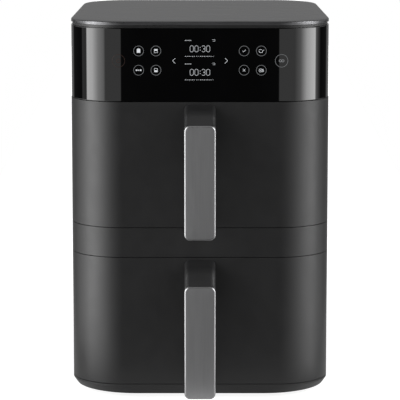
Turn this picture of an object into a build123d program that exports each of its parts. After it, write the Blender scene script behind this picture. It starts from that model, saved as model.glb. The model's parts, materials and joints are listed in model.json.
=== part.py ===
from build123d import *
import math
import os

# Two-drawer upright air fryer. Millimetres. +Z is up, the drawer faces look
# towards -Y, +X is to the right of someone facing the drawers. The origin is
# the bottom centre of the whole object's box, handles and rear spacers included.

# ---- overall size ----
BODY_WIDTH = 290.0  # at the widest place, just behind the front corners
BODY_DEPTH = 300.0
SIDE_TAPER = 5.0  # each side, from the front corners to the rear corners
FRONT_RADIUS = 58.0
REAR_RADIUS = 55.0
HANDLE_REACH = 44.0
SPACER_REACH = 8.0
FRONT = HANDLE_REACH - (HANDLE_REACH + BODY_DEPTH + SPACER_REACH) / 2

# ---- levels ----
FOOT_HEIGHT = 5.0
BASE_TOP = 16.3
LOWER_TOP = 161.4
BAND_TOP = 195.1
UPPER_TOP = 336.3
PANEL_TOP = 418.0
NECK_TOP = 421.3
LID_TOP = 426.0
SEAM = 0.5
HALF_SEAM = SEAM / 2

# ---- casing ----
SPLIT = 75.0  # depth at which the wrap-round fronts meet the rear housing
SKIN = 3.0
HOUSING_WALL = 2.5
TRAY_FLOOR = 8.0
TRAY_WALL = 3.0
TRAY_BEND = 14.0  # the level below which the tray draws in
TRAY_DRAW = 3.0
TRAY_SOFTEN = 15.0  # how much rounder the corners are at the tray's underside
EDGE_ROUND = 0.6
FRAME_INSET = 5.0
FRAME_WALL = 2.5
FRAME_FACE = 17.3
FRAME_PLATE = 4.0
FRAME_BACK = FRAME_FACE + FRAME_PLATE
FRAME_REACH = 95.0
FLANGE_DEPTH = 15.0

# ---- chambers and baskets ----
OPENING_HALF = 111.5
OPENING_LIFT = 9.95  # from a drawer front's lower edge to the opening
OPENING_HEIGHT = 114.0
LINER_HALF = 114.5
LINER_BACK = 246.0
LINER_SHEET = 1.0
COVER_FACE = 12.0
COVER_BACK = 15.0
SEAL_THICKNESS = 2.0
SEAL_BAND = 4.5
BASKET_HALF = 104.0
BASKET_BACK = 200.0
BASKET_HEIGHT = 92.0
BASKET_LIFT = 2.5
BASKET_WALL = 1.2
BASKET_CORNER = 20.0
BASKET_FOOT_ROUND = 9.0
RIM_REACH = 5.5
RIM_THICKNESS = 1.5
RUN_GAP = 0.3
PLATE_LIFT = 14.0
PLATE_SHEET = 1.5
PLATE_GAP = 3.0
GUARD_FACE = 211.0

# ---- rotor ----
SHAFT_RADIUS = 3.0
BEARING_RADIUS = 7.0
BEARING_LENGTH = 6.0
MOTOR_FACE = 251.0
MOTOR_BACK = 281.0
MOTOR_RADIUS = 27.0
ROTOR_RADIUS = 14.0

# ---- handles ----
HANDLE_HALF = 17.25
HANDLE_PLATE = 3.2
GRIP_BACK = 32.5
GRIP_CORNER = 6.0
HANDLE_DROP = 6.9  # the plate's end below its drawer's lower edge
HANDLE_LENGTH = 127.0
ARM_DROP = 3.0  # the arm's top below its drawer's upper edge

# ---- control panel ----
PANEL_INSET = 0.4
KEY_ROWS = (56.3, 35.0)
KEY_COLUMNS = (48.6, 67.3)
ARROW_COLUMN = 29.0
END_KEY_COLUMN = 90.0
CENTRE_ROW = 45.4

# each drawer: name, lower edge of its front, upper edge of its front
DRAWERS = (
    ("upper", BAND_TOP + HALF_SEAM, UPPER_TOP - HALF_SEAM),
    ("lower", BASE_TOP + HALF_SEAM, LOWER_TOP - HALF_SEAM),
)
FOOT_SPOTS = tuple((x, u) for x in (-98.0, 98.0) for u in (52.0, 248.0))
LUG_SPOTS = tuple((side, u) for side in (-1, 1) for u in (120.0, 225.0))
VENT_HALF = 74.0
VENT_LOW = 46.0
VENT_HIGH = 326.0
VENT_LAP = 6.0
VENT_SCREWS = tuple((x, z) for x in (-77.0, 77.0) for z in (54.0, 186.0, 318.0))
GLAND_SPOT = (60.0, 29.0)
BACK_HALF = 84.4  # half width of the flat back cover
BACK_STRIP = 75.0  # where the side covers' lap strips behind it begin


def at(depth):
    """The y of a place this deep behind the drawer faces."""
    return FRONT + depth


def block(x0, x1, depth0, depth1, z0, z1):
    """A box between two corners."""
    centre = Pos((x0 + x1) / 2, at((depth0 + depth1) / 2), (z0 + z1) / 2)
    return centre * Box(x1 - x0, depth1 - depth0, z1 - z0)


def rod(x, z, radius, depth0, depth1):
    """A cylinder lying front to back."""
    centre = Pos(x, at((depth0 + depth1) / 2), z)
    return centre * Rot(90, 0, 0) * Cylinder(radius, depth1 - depth0)


def post(x, depth, radius, z0, z1):
    """An upright cylinder."""
    return Pos(x, at(depth), (z0 + z1) / 2) * Cylinder(radius, z1 - z0)


def slab(x0, x1, z0, z1, corner, depth0, depth1):
    """An upright plate with rounded corners, facing the front."""
    place = Pos((x0 + x1) / 2, at(depth1), (z0 + z1) / 2) * Rot(90, 0, 0)
    return place * extrude(RectangleRounded(x1 - x0, z1 - z0, corner), depth1 - depth0)


def tub(half, depth0, depth1, z0, z1, corner):
    """A level block with rounded upright corners."""
    place = Pos(0, at((depth0 + depth1) / 2), z0)
    return place * extrude(RectangleRounded(2 * half, depth1 - depth0, corner), z1 - z0)


def plan(inset, soften=0.0):
    """The body's plan, drawn in by inset, its corners rounder by soften."""
    slope = SIDE_TAPER / (BODY_DEPTH - FRONT_RADIUS - REAR_RADIUS)
    lean = inset * math.hypot(1, slope)
    front, back = inset, BODY_DEPTH - inset
    corners = []
    for side, depth in ((-1, front), (1, front), (1, back), (-1, back)):
        half = BODY_WIDTH / 2 - (depth - FRONT_RADIUS) * slope - lean
        corners.append((side * half, at(depth)))
    outline = Polygon(*corners, align=None)
    rows = outline.vertices().group_by(Axis.Y)
    outline = fillet(rows[0], FRONT_RADIUS - inset + soften)
    rows = outline.vertices().group_by(Axis.Y)
    return fillet(rows[-1], REAR_RADIUS - inset + soften)


def prism(inset, z0, z1, soften=0.0):
    """The body's plan raised from z0 to z1."""
    return Pos(0, 0, z0) * extrude(plan(inset, soften), z1 - z0)


def slice_depth(depth0, depth1):
    """Everything between two depths."""
    return block(-BODY_WIDTH, BODY_WIDTH, depth0, depth1, -10.0, LID_TOP + 10.0)


def wrap_cover(inset, z0, z1, wall):
    """A front cover that wraps both corners, with ledges behind its front edges."""
    outer = prism(inset, z0, z1) & slice_depth(-1, SPLIT - HALF_SEAM)
    split_y = at(SPLIT - HALF_SEAM)
    rims = [e for e in outer.edges() if e.center().Y < split_y - 0.1 and e.bounding_box().size.Z < 0.01]
    outer = fillet(rims, EDGE_ROUND)
    hollow = prism(inset + wall, z0 + wall, z1 - wall)
    behind = prism(inset + wall, z0 - 1, z1 + 1) & slice_depth(FLANGE_DEPTH, BODY_DEPTH)
    centre = prism(inset + COVER_FACE, z0 - 1, z1 + 1)
    return outer - hollow - behind - centre


def opening_low(front_low):
    return front_low + OPENING_LIFT


def opening_high(front_low):
    return opening_low(front_low) + OPENING_HEIGHT


def axis_height(front_low):
    return opening_low(front_low) + OPENING_HEIGHT / 2


# ---- fixed body ----
def base_tray():
    underside = Pos(0, 0, FOOT_HEIGHT) * plan(TRAY_DRAW, TRAY_SOFTEN)
    tray = loft([underside, Pos(0, 0, TRAY_BEND) * plan(0)], ruled=True)
    tray += prism(0, TRAY_BEND, BASE_TOP - HALF_SEAM)
    tray -= prism(TRAY_WALL, TRAY_FLOOR, BASE_TOP, TRAY_SOFTEN)
    for side, depth in LUG_SPOTS:
        tray += post(side * 127.0, depth, 6.0, TRAY_FLOOR, BASE_TOP + HALF_SEAM)
    liner_low = opening_low(DRAWERS[1][1]) - 2 * LINER_SHEET
    for depth in (110.0, 215.0):
        tray += block(-90, 90, depth, depth + TRAY_WALL, TRAY_FLOOR - 1, liner_low)
    for row in range(7):
        depth = 128.0 + row * 11.0
        for x in (-46.0, 46.0):
            tray -= floor_slot(x, depth, 64.0, 4.0)
    for x, depth in FOOT_SPOTS:
        tray -= post(x, depth, 3.0, 0, TRAY_FLOOR + 1)
    for side, depth in LUG_SPOTS:
        tray -= post(side * 127.0, depth, 4.2, 0, TRAY_FLOOR)
        tray -= post(side * 127.0, depth, 2.1, 0, BASE_TOP + SEAM)
    return tray


def floor_slot(x, depth, length, width):
    """A round-ended slot that goes down through the tray's floor."""
    return Pos(x, at(depth), 0) * extrude(SlotOverall(length, width), TRAY_FLOOR + 1)


def rubber_feet():
    feet = []
    for x, depth in FOOT_SPOTS:
        pad = post(x, depth, 12.0, 0, FOOT_HEIGHT)
        pad = fillet(pad.edges().sort_by(Axis.Z)[0], 1.2)
        feet.append(pad + post(x, depth, 3.0, FOOT_HEIGHT - 1, TRAY_FLOOR + 1))
    return feet


def base_screws():
    screws = []
    for side, depth in LUG_SPOTS:
        head = post(side * 127.0, depth, 4.0, 5.2, TRAY_FLOOR)
        screws.append(head + post(side * 127.0, depth, 2.0, TRAY_FLOOR - 1, 24.0))
    return screws


def casing():
    """Sides and back as one shell, before it is parted into three covers."""
    low, high = BASE_TOP + HALF_SEAM, PANEL_TOP - HALF_SEAM
    shell = prism(0, low, high) & slice_depth(SPLIT + HALF_SEAM, BODY_DEPTH + 1)
    split_y = at(SPLIT + HALF_SEAM)
    rims = [e for e in shell.edges() if e.center().Y > split_y + 0.1 and e.bounding_box().size.Z < 0.01]
    shell = fillet(rims, EDGE_ROUND)
    return shell - prism(HOUSING_WALL, low - 1, high + 1)


def side_cover(side):
    """One side with its rear corner, its frame rib, its two lugs and its lap strip."""
    low, high = BASE_TOP + HALF_SEAM, PANEL_TOP - HALF_SEAM
    x0, x1 = sorted((side * (BACK_HALF + HALF_SEAM), side * BODY_WIDTH))
    shell = casing() & block(x0, x1, 0, BODY_DEPTH + 1, 0, LID_TOP)
    rib = prism(HOUSING_WALL - 0.5, 30, 400) - prism(FRAME_INSET, 29, 401)
    shell += rib & block(x0, x1, 81, 88, 0, LID_TOP)
    wall = BODY_DEPTH - HOUSING_WALL
    x0, x1 = sorted((side * BACK_STRIP, side * (BACK_HALF + 6)))
    strip = block(x0, x1, wall - HOUSING_WALL, wall, low + 10, high - 10)
    x0, x1 = sorted((side * (BACK_HALF + 2), side * (BACK_HALF + 6)))
    strip += block(x0, x1, wall - 1, wall + 1, low + 10, high - 10)
    shell += strip
    for lug_side, depth in LUG_SPOTS:
        if lug_side == side:
            x0, x1 = sorted((side * 120.0, side * 145.0))
            lug = block(x0, x1, depth - 8, depth + 8, low, low + 9.0)
            shell += lug & prism(HOUSING_WALL - 0.5, low, low + 9.0)
            shell -= post(side * 127.0, depth, 2.1, low - 1, low + 8.0)
    for x, z in VENT_SCREWS:
        shell -= rod(x, z, 1.7, 285, 301)
    return shell


def left_side_cover():
    return side_cover(-1)


def right_side_cover():
    return side_cover(1)


def back_cover():
    plate = casing() & block(-BACK_HALF, BACK_HALF, BODY_DEPTH / 2, BODY_DEPTH + 1, 0, LID_TOP)
    plate -= slab(-VENT_HALF, VENT_HALF, VENT_LOW, VENT_HIGH, 10, 290, 301)
    for x, z in VENT_SCREWS:
        plate -= rod(x, z, 1.7, 290, 301)
    return plate - rod(*GLAND_SPOT, 6.5, 290, 301)


def rear_vent_cover():
    lap = VENT_LAP
    back = BODY_DEPTH
    cover = slab(-VENT_HALF - lap, VENT_HALF + lap, VENT_LOW - lap, VENT_HIGH + lap, 14, back, back + 2.0)
    cover = chamfer(cover.faces().sort_by(Axis.Y)[-1].edges(), 0.7)
    fit = 0.3
    cover += slab(-VENT_HALF + fit, VENT_HALF - fit, VENT_LOW + fit, VENT_HIGH - fit, 9, back - 3, back + 1)
    for x in (-66.0, 66.0):
        for z in (70.0, 302.0):
            cover += slab(x - 9, x + 9, z - 13, z + 13, 8, back + 1, back + SPACER_REACH)
    bumps = [e for e in cover.faces().sort_by(Axis.Y)[-4:].edges()]
    cover = fillet(bumps, 2.5)
    for _, front_low, _ in DRAWERS:
        middle = axis_height(front_low)
        for row in range(-5, 6):
            z = middle + row * 8.6
            cover -= slab(-50, 50, z - 2.1, z + 2.1, 2.0, back - 5, back + 3)
    for x, z in VENT_SCREWS:
        cover -= rod(x, z, 1.7, back - 1, back + 4)
    return cover


def rear_screws():
    screws = []
    for x, z in VENT_SCREWS:
        head = rod(x, z, 3.2, BODY_DEPTH + 2.0, BODY_DEPTH + 4.2)
        head = fillet(head.edges().sort_by(Axis.Y)[-1], 1.2)
        head -= block(x - 2.2, x + 2.2, BODY_DEPTH + 3.4, BODY_DEPTH + 5, z - 0.4, z + 0.4)
        head -= block(x - 0.4, x + 0.4, BODY_DEPTH + 3.4, BODY_DEPTH + 5, z - 2.2, z + 2.2)
        screws.append(head + rod(x, z, 1.6, BODY_DEPTH - 8, BODY_DEPTH + 2.5))
    return screws


def cord_gland():
    x, z = GLAND_SPOT
    back = BODY_DEPTH
    bush = rod(x, z, 9.0, back, back + 4)
    bush = fillet(bush.edges().sort_by(Axis.Y)[-1], 1.5)
    bush += rod(x, z, 6.4, back - 8, back + 1)
    bush += rod(x, z, 9.0, back - 10, back - HOUSING_WALL)
    return bush - rod(x, z, 3.6, back - 11, back + 5)


def front_frame():
    frame = prism(FRAME_INSET, BASE_TOP, PANEL_TOP) + prism(FRAME_INSET, TRAY_FLOOR, BASE_TOP, TRAY_SOFTEN)
    frame &= slice_depth(FRAME_FACE, FRAME_REACH)
    frame -= prism(FRAME_INSET + FRAME_WALL, 0, LID_TOP) & slice_depth(FRAME_BACK, BODY_DEPTH)
    for _, front_low, _ in DRAWERS:
        z0, z1 = opening_low(front_low), opening_high(front_low)
        frame -= slab(-OPENING_HALF, OPENING_HALF, z0, z1, 6, 0, 30)
        frame -= rod(70.0, z1 + 9.5, 2.6, 0, 30)
    return frame - slab(-95, 95, 345, 410, 6, 0, 30)


def middle_band():
    low, high = LOWER_TOP + HALF_SEAM, BAND_TOP - HALF_SEAM
    band = wrap_cover(0, low, high, SKIN)
    for x in (-80.0, 80.0):
        for z in (low + 8, high - 8):
            band += rod(x, z, 3.5, SKIN - 1, FRAME_FACE)
    return band


def control_panel():
    return wrap_cover(PANEL_INSET, UPPER_TOP + HALF_SEAM, PANEL_TOP - HALF_SEAM, 2.6)


def panel_carrier():
    low, high = UPPER_TOP + HALF_SEAM + 2.6, PANEL_TOP - HALF_SEAM - 2.6
    plate = block(-100, 100, 13, 15, low, high)
    for x in (-88.0, 88.0):
        for z in (low + 4, high - 4):
            plate += rod(x, z, 3.0, 11, 14)
            plate += rod(x, z, 3.0, 14, FRAME_FACE)
    return plate - block(-22, 22, 12, 16, low + 14, high - 14)


def display_module():
    return block(-20, 22, 3.0, 9.4, 351, 411)


def touch_board():
    low, high = UPPER_TOP + 6.0, PANEL_TOP - 6.0
    return block(-97, 97, 9.4, 11.0, low, high)


def key_spots():
    spots = [(side * column, row) for side in (-1, 1) for column in KEY_COLUMNS for row in KEY_ROWS]
    spots += [(side * ARROW_COLUMN, CENTRE_ROW) for side in (-1, 1)]
    return spots + [(side * END_KEY_COLUMN, CENTRE_ROW) for side in (-1, 1)]


def touch_springs():
    sleeves = []
    for x, row in key_spots():
        z = UPPER_TOP + row
        sleeves.append(rod(x, z, 4.0, 3.6, 9.4) - rod(x, z, 3.2, 3, 10))
    return sleeves


def power_board():
    return block(-92, 62, 105, 235, 350, 351.6)


def power_board_parts():
    top = 351.6
    parts = [block(-80, -30, 120, 162, top, top + 36), block(-16, 6, 122, 138, top, top + 17)]
    parts.append(block(14, 36, 122, 138, top, top + 17))
    parts.append(block(-70, -20, 200, 212, top, top + 28))
    for x in (0.0, 16.0, 32.0):
        parts.append(post(x, 190, 6.0, top, top + 22))
    for x in (-86.0, 56.0):
        for depth in (111.0, 229.0):
            parts.append(post(x, depth, 4.0, 341.0, 350))
    return parts


def insulation_mats():
    """One mat on each liner, the upper one reaching the power board's feet."""
    mats = []
    for (_, front_low, _), thickness in zip(DRAWERS, (19.7, 24.0)):
        liner_high = opening_high(front_low) + 2 * LINER_SHEET
        mats.append(tub(110, 40, 240, liner_high, liner_high + thickness, 8))
    return mats


def top_frame():
    plate = prism(2.2, PANEL_TOP, NECK_TOP)
    ring = prism(HOUSING_WALL, PANEL_TOP - 8, PANEL_TOP + 1) - prism(5.0, PANEL_TOP - 9, PANEL_TOP + 1)
    plate += ring & slice_depth(FRAME_REACH + 2, BODY_DEPTH)
    plate += prism(8, NECK_TOP - 1, LID_TOP - 1.2) - prism(11, NECK_TOP - 2, LID_TOP)
    for depth in (90.0, 150.0, 210.0):
        rib = prism(9, NECK_TOP - 1, LID_TOP - 1.2)
        plate += rib & slice_depth(depth, depth + 3)
    return plate


def top_cover():
    lid = prism(0.3, NECK_TOP, LID_TOP)
    lid = fillet(lid.faces().sort_by(Axis.Z)[-1].edges(), 2.3)
    return lid - prism(1.8, NECK_TOP - 1, LID_TOP - 1.2)


def drawer_switches():
    switches = []
    for _, front_low, _ in DRAWERS:
        z = opening_high(front_low) + 9.5
        body = block(60, 80, 24, 34, z - 4, z + 4)
        body += block(78, 80, FRAME_BACK, 25, z - 4, z + 4)
        body += rod(70, z, 1.5, 22.8, 25)
        switches.append(body)
    return switches


def motor_brackets():
    brackets = []
    for _, front_low, _ in DRAWERS:
        z = axis_height(front_low)
        plate = slab(-42, 42, z - 36, z + 36, 6, LINER_BACK, LINER_BACK + 1.5)
        for x in (-16.0, 16.0):
            for rise in (-16.0, 16.0):
                plate += rod(x, z + rise, 3.5, LINER_BACK + 1, MOTOR_FACE)
        plate -= rod(0, z, 10.0, 240, 250)
        brackets.append(plate)
    return brackets


def temperature_sensors():
    probes = []
    for _, front_low, _ in DRAWERS:
        top = opening_high(front_low) + 2 * LINER_SHEET
        probe = post(-84, 30, 1.5, top - 10, top + 1)
        probes.append(probe + block(-90, -78, 27, 33, top, top + 4))
    return probes


# ---- each chamber ----
HEATER_RING = 50.0
HEATER_TUBE = 3.2
HEATER_DEPTH = 219.0
HEATER_GAP = 22.0  # half the open stretch at the ring's top, degrees
HEATER_BEND = 9.0


def heater_legs():
    """Where the heater's two ends lie, seen from the front, about the fan's axis."""
    turn = math.radians(90 + HEATER_GAP)
    x = HEATER_RING * math.cos(turn) + HEATER_BEND * math.sin(turn)
    rise = HEATER_RING * math.sin(turn) - HEATER_BEND * math.cos(turn)
    return ((x, rise), (-x, rise))


def liner(front_low):
    z0, z1 = opening_low(front_low) - 2 * LINER_SHEET, opening_high(front_low) + 2 * LINER_SHEET
    sheet = LINER_SHEET
    shell = block(-LINER_HALF, LINER_HALF, FRAME_BACK, LINER_BACK, z0, z1)
    inner = block(-LINER_HALF + sheet, LINER_HALF - sheet, 0, LINER_BACK - sheet, z0 + sheet, z1 - sheet)
    z = axis_height(front_low)
    shell -= inner
    shell -= rod(0, z, 5.0, 240, 250)
    for x, rise in heater_legs():
        shell -= rod(x, z + rise, HEATER_TUBE + 0.2, 240, 250)
    return shell - post(-84, 30, 1.6, z1 - 3, z1 + 1)


def rails(front_low):
    z0, z1 = rim_levels(front_low)
    wall = LINER_HALF - LINER_SHEET
    pair = []
    for side in (-1, 1):
        x0, x1 = sorted((side * (BASKET_HALF + 1.5), side * wall))
        bar = block(x0, x1, FRAME_BACK, BASKET_BACK - 2, z0 - RUN_GAP - 1.5, z1 + RUN_GAP + 1.5)
        x0, x1 = sorted((side * (BASKET_HALF + 1.0), side * (wall - 2.0)))
        pair.append(bar - block(x0, x1, 10, BASKET_BACK, z0 - RUN_GAP, z1 + RUN_GAP))
    return pair


def heater(front_low):
    """One tube: in through the liner's back, once round the fan, and out again."""
    z = axis_height(front_low)
    back = at(LINER_BACK + 16)
    runs = []
    for side in (-1, 1):
        turn = math.radians(90 + side * HEATER_GAP)
        x, rise = HEATER_RING * math.cos(turn), HEATER_RING * math.sin(turn)
        onward = Vector(side * math.sin(turn), 0, -side * math.cos(turn))
        ring_end = Vector(x, at(HEATER_DEPTH), z + rise)
        leg_end = ring_end + onward * HEATER_BEND + Vector(0, HEATER_BEND, 0)
        runs.append((ring_end, onward, leg_end, Vector(leg_end.X, back, leg_end.Z)))
    low = Vector(0, at(HEATER_DEPTH), z - HEATER_RING)
    path = [Line(runs[0][3], runs[0][2])]
    path.append(TangentArc(runs[0][0], runs[0][2], tangent=runs[0][1]))
    path.append(ThreePointArc(runs[0][0], low, runs[1][0]))
    path.append(TangentArc(runs[1][0], runs[1][2], tangent=runs[1][1]))
    path.append(Line(runs[1][2], runs[1][3]))
    start = Plane(origin=runs[0][3], z_dir=(0, -1, 0))
    return sweep(start * Circle(HEATER_TUBE), path=Wire(path))


def heater_guard(front_low):
    z0, z1 = opening_low(front_low) - LINER_SHEET, opening_high(front_low) + LINER_SHEET
    half = LINER_HALF - LINER_SHEET
    sheet = block(-half, half, GUARD_FACE, GUARD_FACE + 1, z0, z1)
    middle = axis_height(front_low)
    for ring in range(1, 6):
        for step in range(6 * ring):
            turn = 2 * math.pi * step / (6 * ring)
            radius = 9.5 * ring
            x, z = radius * math.cos(turn), middle + radius * math.sin(turn)
            sheet -= rod(x, z, 3.0, GUARD_FACE - 1, GUARD_FACE + 2)
    for x in (-92.0, -78.0, 78.0, 92.0):
        sheet -= slab(x - 3, x + 3, middle - 40, middle + 40, 2.9, GUARD_FACE - 1, GUARD_FACE + 2)
    return sheet


def fan_motor(front_low):
    z = axis_height(front_low)
    case = rod(0, z, MOTOR_RADIUS, MOTOR_FACE, MOTOR_BACK)
    case = fillet(case.edges().filter_by(GeomType.CIRCLE), 1.5)
    case -= rod(0, z, ROTOR_RADIUS + 1, MOTOR_FACE + BEARING_LENGTH, MOTOR_BACK - BEARING_LENGTH)
    return case - rod(0, z, BEARING_RADIUS, MOTOR_FACE - 1, MOTOR_BACK + 1)


def shaft_bearings(front_low):
    z = axis_height(front_low)
    pair = []
    for depth in (MOTOR_FACE, MOTOR_BACK - BEARING_LENGTH):
        bush = rod(0, z, BEARING_RADIUS, depth, depth + BEARING_LENGTH)
        pair.append(bush - rod(0, z, SHAFT_RADIUS + 0.05, depth - 1, depth + BEARING_LENGTH + 1))
    return pair


# ---- each rotor ----
FAN_FACE = 226.0
FAN_BACK = 238.0
FAN_RADIUS = 43.0
COOLER_FACE = 284.0
COOLER_BACK = 291.0
COOLER_RADIUS = 32.0


def fan_shaft(front_low):
    z = axis_height(front_low)
    shaft = rod(0, z, SHAFT_RADIUS, FAN_FACE - 4, COOLER_BACK + 1)
    core = rod(0, z, ROTOR_RADIUS, MOTOR_FACE + 8, MOTOR_BACK - 8)
    nut = Pos(0, at(FAN_FACE - 1.5), z) * Rot(90, 0, 0)
    nut = nut * extrude(RegularPolygon(5.0, 6), 1.5, both=True)
    return shaft + core + nut


def convection_fan(front_low):
    z = axis_height(front_low)
    fan = rod(0, z, 9.0, FAN_FACE, FAN_BACK) + rod(0, z, FAN_RADIUS, FAN_BACK - 1.2, FAN_BACK)
    for step in range(10):
        vane = Pos(27, at((FAN_FACE + FAN_BACK) / 2 + 1), 0) * Rot(0, 18, 0) * Box(27, 10, 1.4)
        fan += Pos(0, 0, z) * Rot(0, 36 * step, 0) * vane
    return fan - rod(0, z, SHAFT_RADIUS, 220, 245)


def cooling_fan(front_low):
    z = axis_height(front_low)
    fan = rod(0, z, 8.0, COOLER_FACE, COOLER_BACK)
    middle = at((COOLER_FACE + COOLER_BACK) / 2)
    for step in range(7):
        vane = Pos(19.5, middle, 0) * Rot(28, 0, 0) * Box(25, 1.2, 11)
        fan += Pos(0, 0, z) * Rot(0, 360 * step / 7, 0) * vane
    return fan - rod(0, z, SHAFT_RADIUS, 280, 295)


# ---- each drawer ----
def rim_levels(front_low):
    """Underside and top of a basket's rim."""
    top = opening_low(front_low) + BASKET_LIFT + BASKET_HEIGHT
    return top - RIM_THICKNESS, top


def handle_levels(front_low, front_high):
    """Lower end and top of the face plate, and top of the arm."""
    low = front_low - HALF_SEAM - HANDLE_DROP
    return low, low + HANDLE_LENGTH, front_high + HALF_SEAM - ARM_DROP


def screw_heights(front_high):
    return front_high - 12.0, front_high - 30.0


def drawer_front(front_low, front_high):
    cover = wrap_cover(0, front_low, front_high, SKIN)
    for z in screw_heights(front_high):
        cover -= rod(0, z, 2.3, -1, SKIN + 1)
    return cover


def inner_cover(front_low, front_high):
    plate = prism(SKIN, front_low + SKIN, front_high - SKIN) & slice_depth(COVER_FACE, COVER_BACK)
    for x in (-60.0, 60.0):
        for z in (front_low + 30, front_high - 30):
            plate += rod(x, z, 4.0, SKIN, COVER_FACE + 1)
    peg_z = opening_high(front_low) + 9.5
    return plate + rod(70, peg_z, 1.8, COVER_BACK - 1, FRAME_BACK + 1)


def door_seal(front_low):
    z0, z1 = opening_low(front_low) - 1, opening_high(front_low) + 1
    half, band = OPENING_HALF + 1, SEAL_BAND
    low_depth, high_depth = COVER_BACK, COVER_BACK + SEAL_THICKNESS
    outer = slab(-half - band, half + band, z0 - band, z1 + band, 9, low_depth, high_depth)
    return outer - slab(-half, half, z0, z1, 5, low_depth - 1, high_depth + 1)


def basket(front_low):
    floor = opening_low(front_low) + BASKET_LIFT
    rim_low, top = rim_levels(front_low)
    wall = BASKET_WALL
    outer = tub(BASKET_HALF, COVER_BACK, BASKET_BACK, floor, top, BASKET_CORNER)
    outer = fillet(outer.faces().sort_by(Axis.Z)[0].edges(), BASKET_FOOT_ROUND)
    front, back = COVER_BACK + wall, BASKET_BACK - wall
    inner = tub(BASKET_HALF - wall, front, back, floor + wall, top + 5, BASKET_CORNER - wall)
    inner = fillet(inner.faces().sort_by(Axis.Z)[0].edges(), BASKET_FOOT_ROUND - wall)
    rim = tub(BASKET_HALF + RIM_REACH, COVER_BACK, BASKET_BACK + RIM_REACH, rim_low, top, BASKET_CORNER)
    return outer + rim - inner


def handle_arm(front_low, front_high):
    grip_low, grip_high, foot_high = handle_levels(front_low, front_high)
    grip_face = HANDLE_REACH - HANDLE_PLATE
    foot_low = foot_high - 42.0
    crown = (0.55 * grip_face, foot_high - 0.30 * (foot_high - grip_high))
    throat = (GRIP_BACK, grip_high - 22.0)
    side = [(0, foot_high), crown, (grip_face, grip_high), (grip_face, grip_low)]
    side += [(GRIP_BACK, grip_low), throat, (0, foot_low)]
    outline = Polygon(*[(FRONT - reach, z) for reach, z in side], align=None)
    soft = {crown: 45.0, throat: 13.0}
    for point, radius in soft.items():
        corner = [v for v in outline.vertices() if abs(v.X - FRONT + point[0]) + abs(v.Y - point[1]) < 0.01]
        outline = fillet(corner, radius)
    arm = extrude(Plane.YZ * outline, HANDLE_HALF, both=True)
    ends = arm.edges().filter_by(Axis.Y)
    ends = [e for e in ends if e.center().Z < grip_low + 0.1]
    arm = fillet(ends, GRIP_CORNER)
    for z in screw_heights(front_high):
        arm -= rod(0, z, 2.1, -18, 1)
    return arm


def handle_plate(front_low, front_high):
    grip_low, grip_high, _ = handle_levels(front_low, front_high)
    face = HANDLE_REACH
    plate = slab(-HANDLE_HALF, HANDLE_HALF, grip_low, grip_high, GRIP_CORNER, -face, -face + HANDLE_PLATE)
    return chamfer(plate.faces().sort_by(Axis.Y)[0].edges(), 1.6)


def handle_screws(front_high):
    screws = []
    for z in screw_heights(front_high):
        screws.append(rod(0, z, 4.2, SKIN, SKIN + 3) + rod(0, z, 2.0, -16, SKIN + 1))
    return screws


# ---- each crisper plate ----
def plate_level(front_low):
    return opening_low(front_low) + BASKET_LIFT + BASKET_WALL + PLATE_LIFT


def plate_span():
    """Half width, front depth and back depth of a crisper plate."""
    gap = BASKET_WALL + PLATE_GAP
    return BASKET_HALF - gap, COVER_BACK + gap, BASKET_BACK - gap


def bumper_spots():
    half, front, back = plate_span()
    spots = [(side * half, depth, 90) for side in (-1, 1) for depth in (front + 45, back - 45)]
    return spots + [(x, depth, 0) for x in (-50.0, 50.0) for depth in (front, back)]


def crisper_plate(front_low):
    level = plate_level(front_low)
    half, front, back = plate_span()
    plate = tub(half, front, back, level, level + PLATE_SHEET, BASKET_CORNER - 5)
    middle = (front + back) / 2
    columns, rows = 13, 11
    for column in range(columns):
        for row in range(rows):
            x = (column - (columns - 1) / 2) * 14.4
            depth = middle + (row - (rows - 1) / 2) * 14.4
            if (column + row) % 2 == 0:
                plate -= post(x, depth, 3.6, level - 1, level + 3)
    legs = [(x, depth) for x in (-72.0, 72.0) for depth in (front + 18, back - 18)]
    floor = level - PLATE_LIFT
    for x, depth in legs:
        plate += post(x, depth, 4.5, floor + RUN_GAP, level + 0.5)
    return plate


def plate_bumpers(front_low):
    level = plate_level(front_low)
    half, front, back = plate_span()
    solid_plate = tub(half, front, back, level, level + PLATE_SHEET, BASKET_CORNER - 5)
    bumpers = []
    for x, depth, turn in bumper_spots():
        pad = Pos(x, at(depth), level + PLATE_SHEET / 2) * Rot(0, 0, turn)
        pad = pad * Box(16, 2 * (PLATE_GAP - 0.4), PLATE_SHEET + 4)
        pad = fillet(pad.edges().filter_by(Axis.Z), 1.2)
        bumpers.append(pad - solid_plate)
    return bumpers


def save(name, shape):
    """Write one sub-part, a single solid or a group of separate solids."""
    if isinstance(shape, list):
        shape = Compound(children=shape)
    shape.label = name
    export_step(shape, f"parts/{name}.step")


def main():
    os.makedirs("parts", exist_ok=True)
    shared = (
        base_tray, rubber_feet, base_screws, left_side_cover, right_side_cover, back_cover,
        rear_vent_cover, rear_screws,
        cord_gland, front_frame, middle_band, control_panel, panel_carrier, display_module,
        touch_board, touch_springs, power_board, power_board_parts, insulation_mats,
        top_frame, top_cover, drawer_switches, motor_brackets, temperature_sensors,
    )
    for make in shared:
        save(make.__name__, make())
    chamber = (
        liner, rails, heater, heater_guard, fan_motor, shaft_bearings, fan_shaft,
        convection_fan, cooling_fan, door_seal, basket, crisper_plate, plate_bumpers,
    )
    for name, low, high in DRAWERS:
        for make in chamber:
            save(f"{name}_{make.__name__}", make(low))
        for make in (drawer_front, inner_cover, handle_arm, handle_plate):
            save(f"{name}_{make.__name__}", make(low, high))
        save(f"{name}_handle_screws", handle_screws(high))


main()
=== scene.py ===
import json
import math

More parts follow.
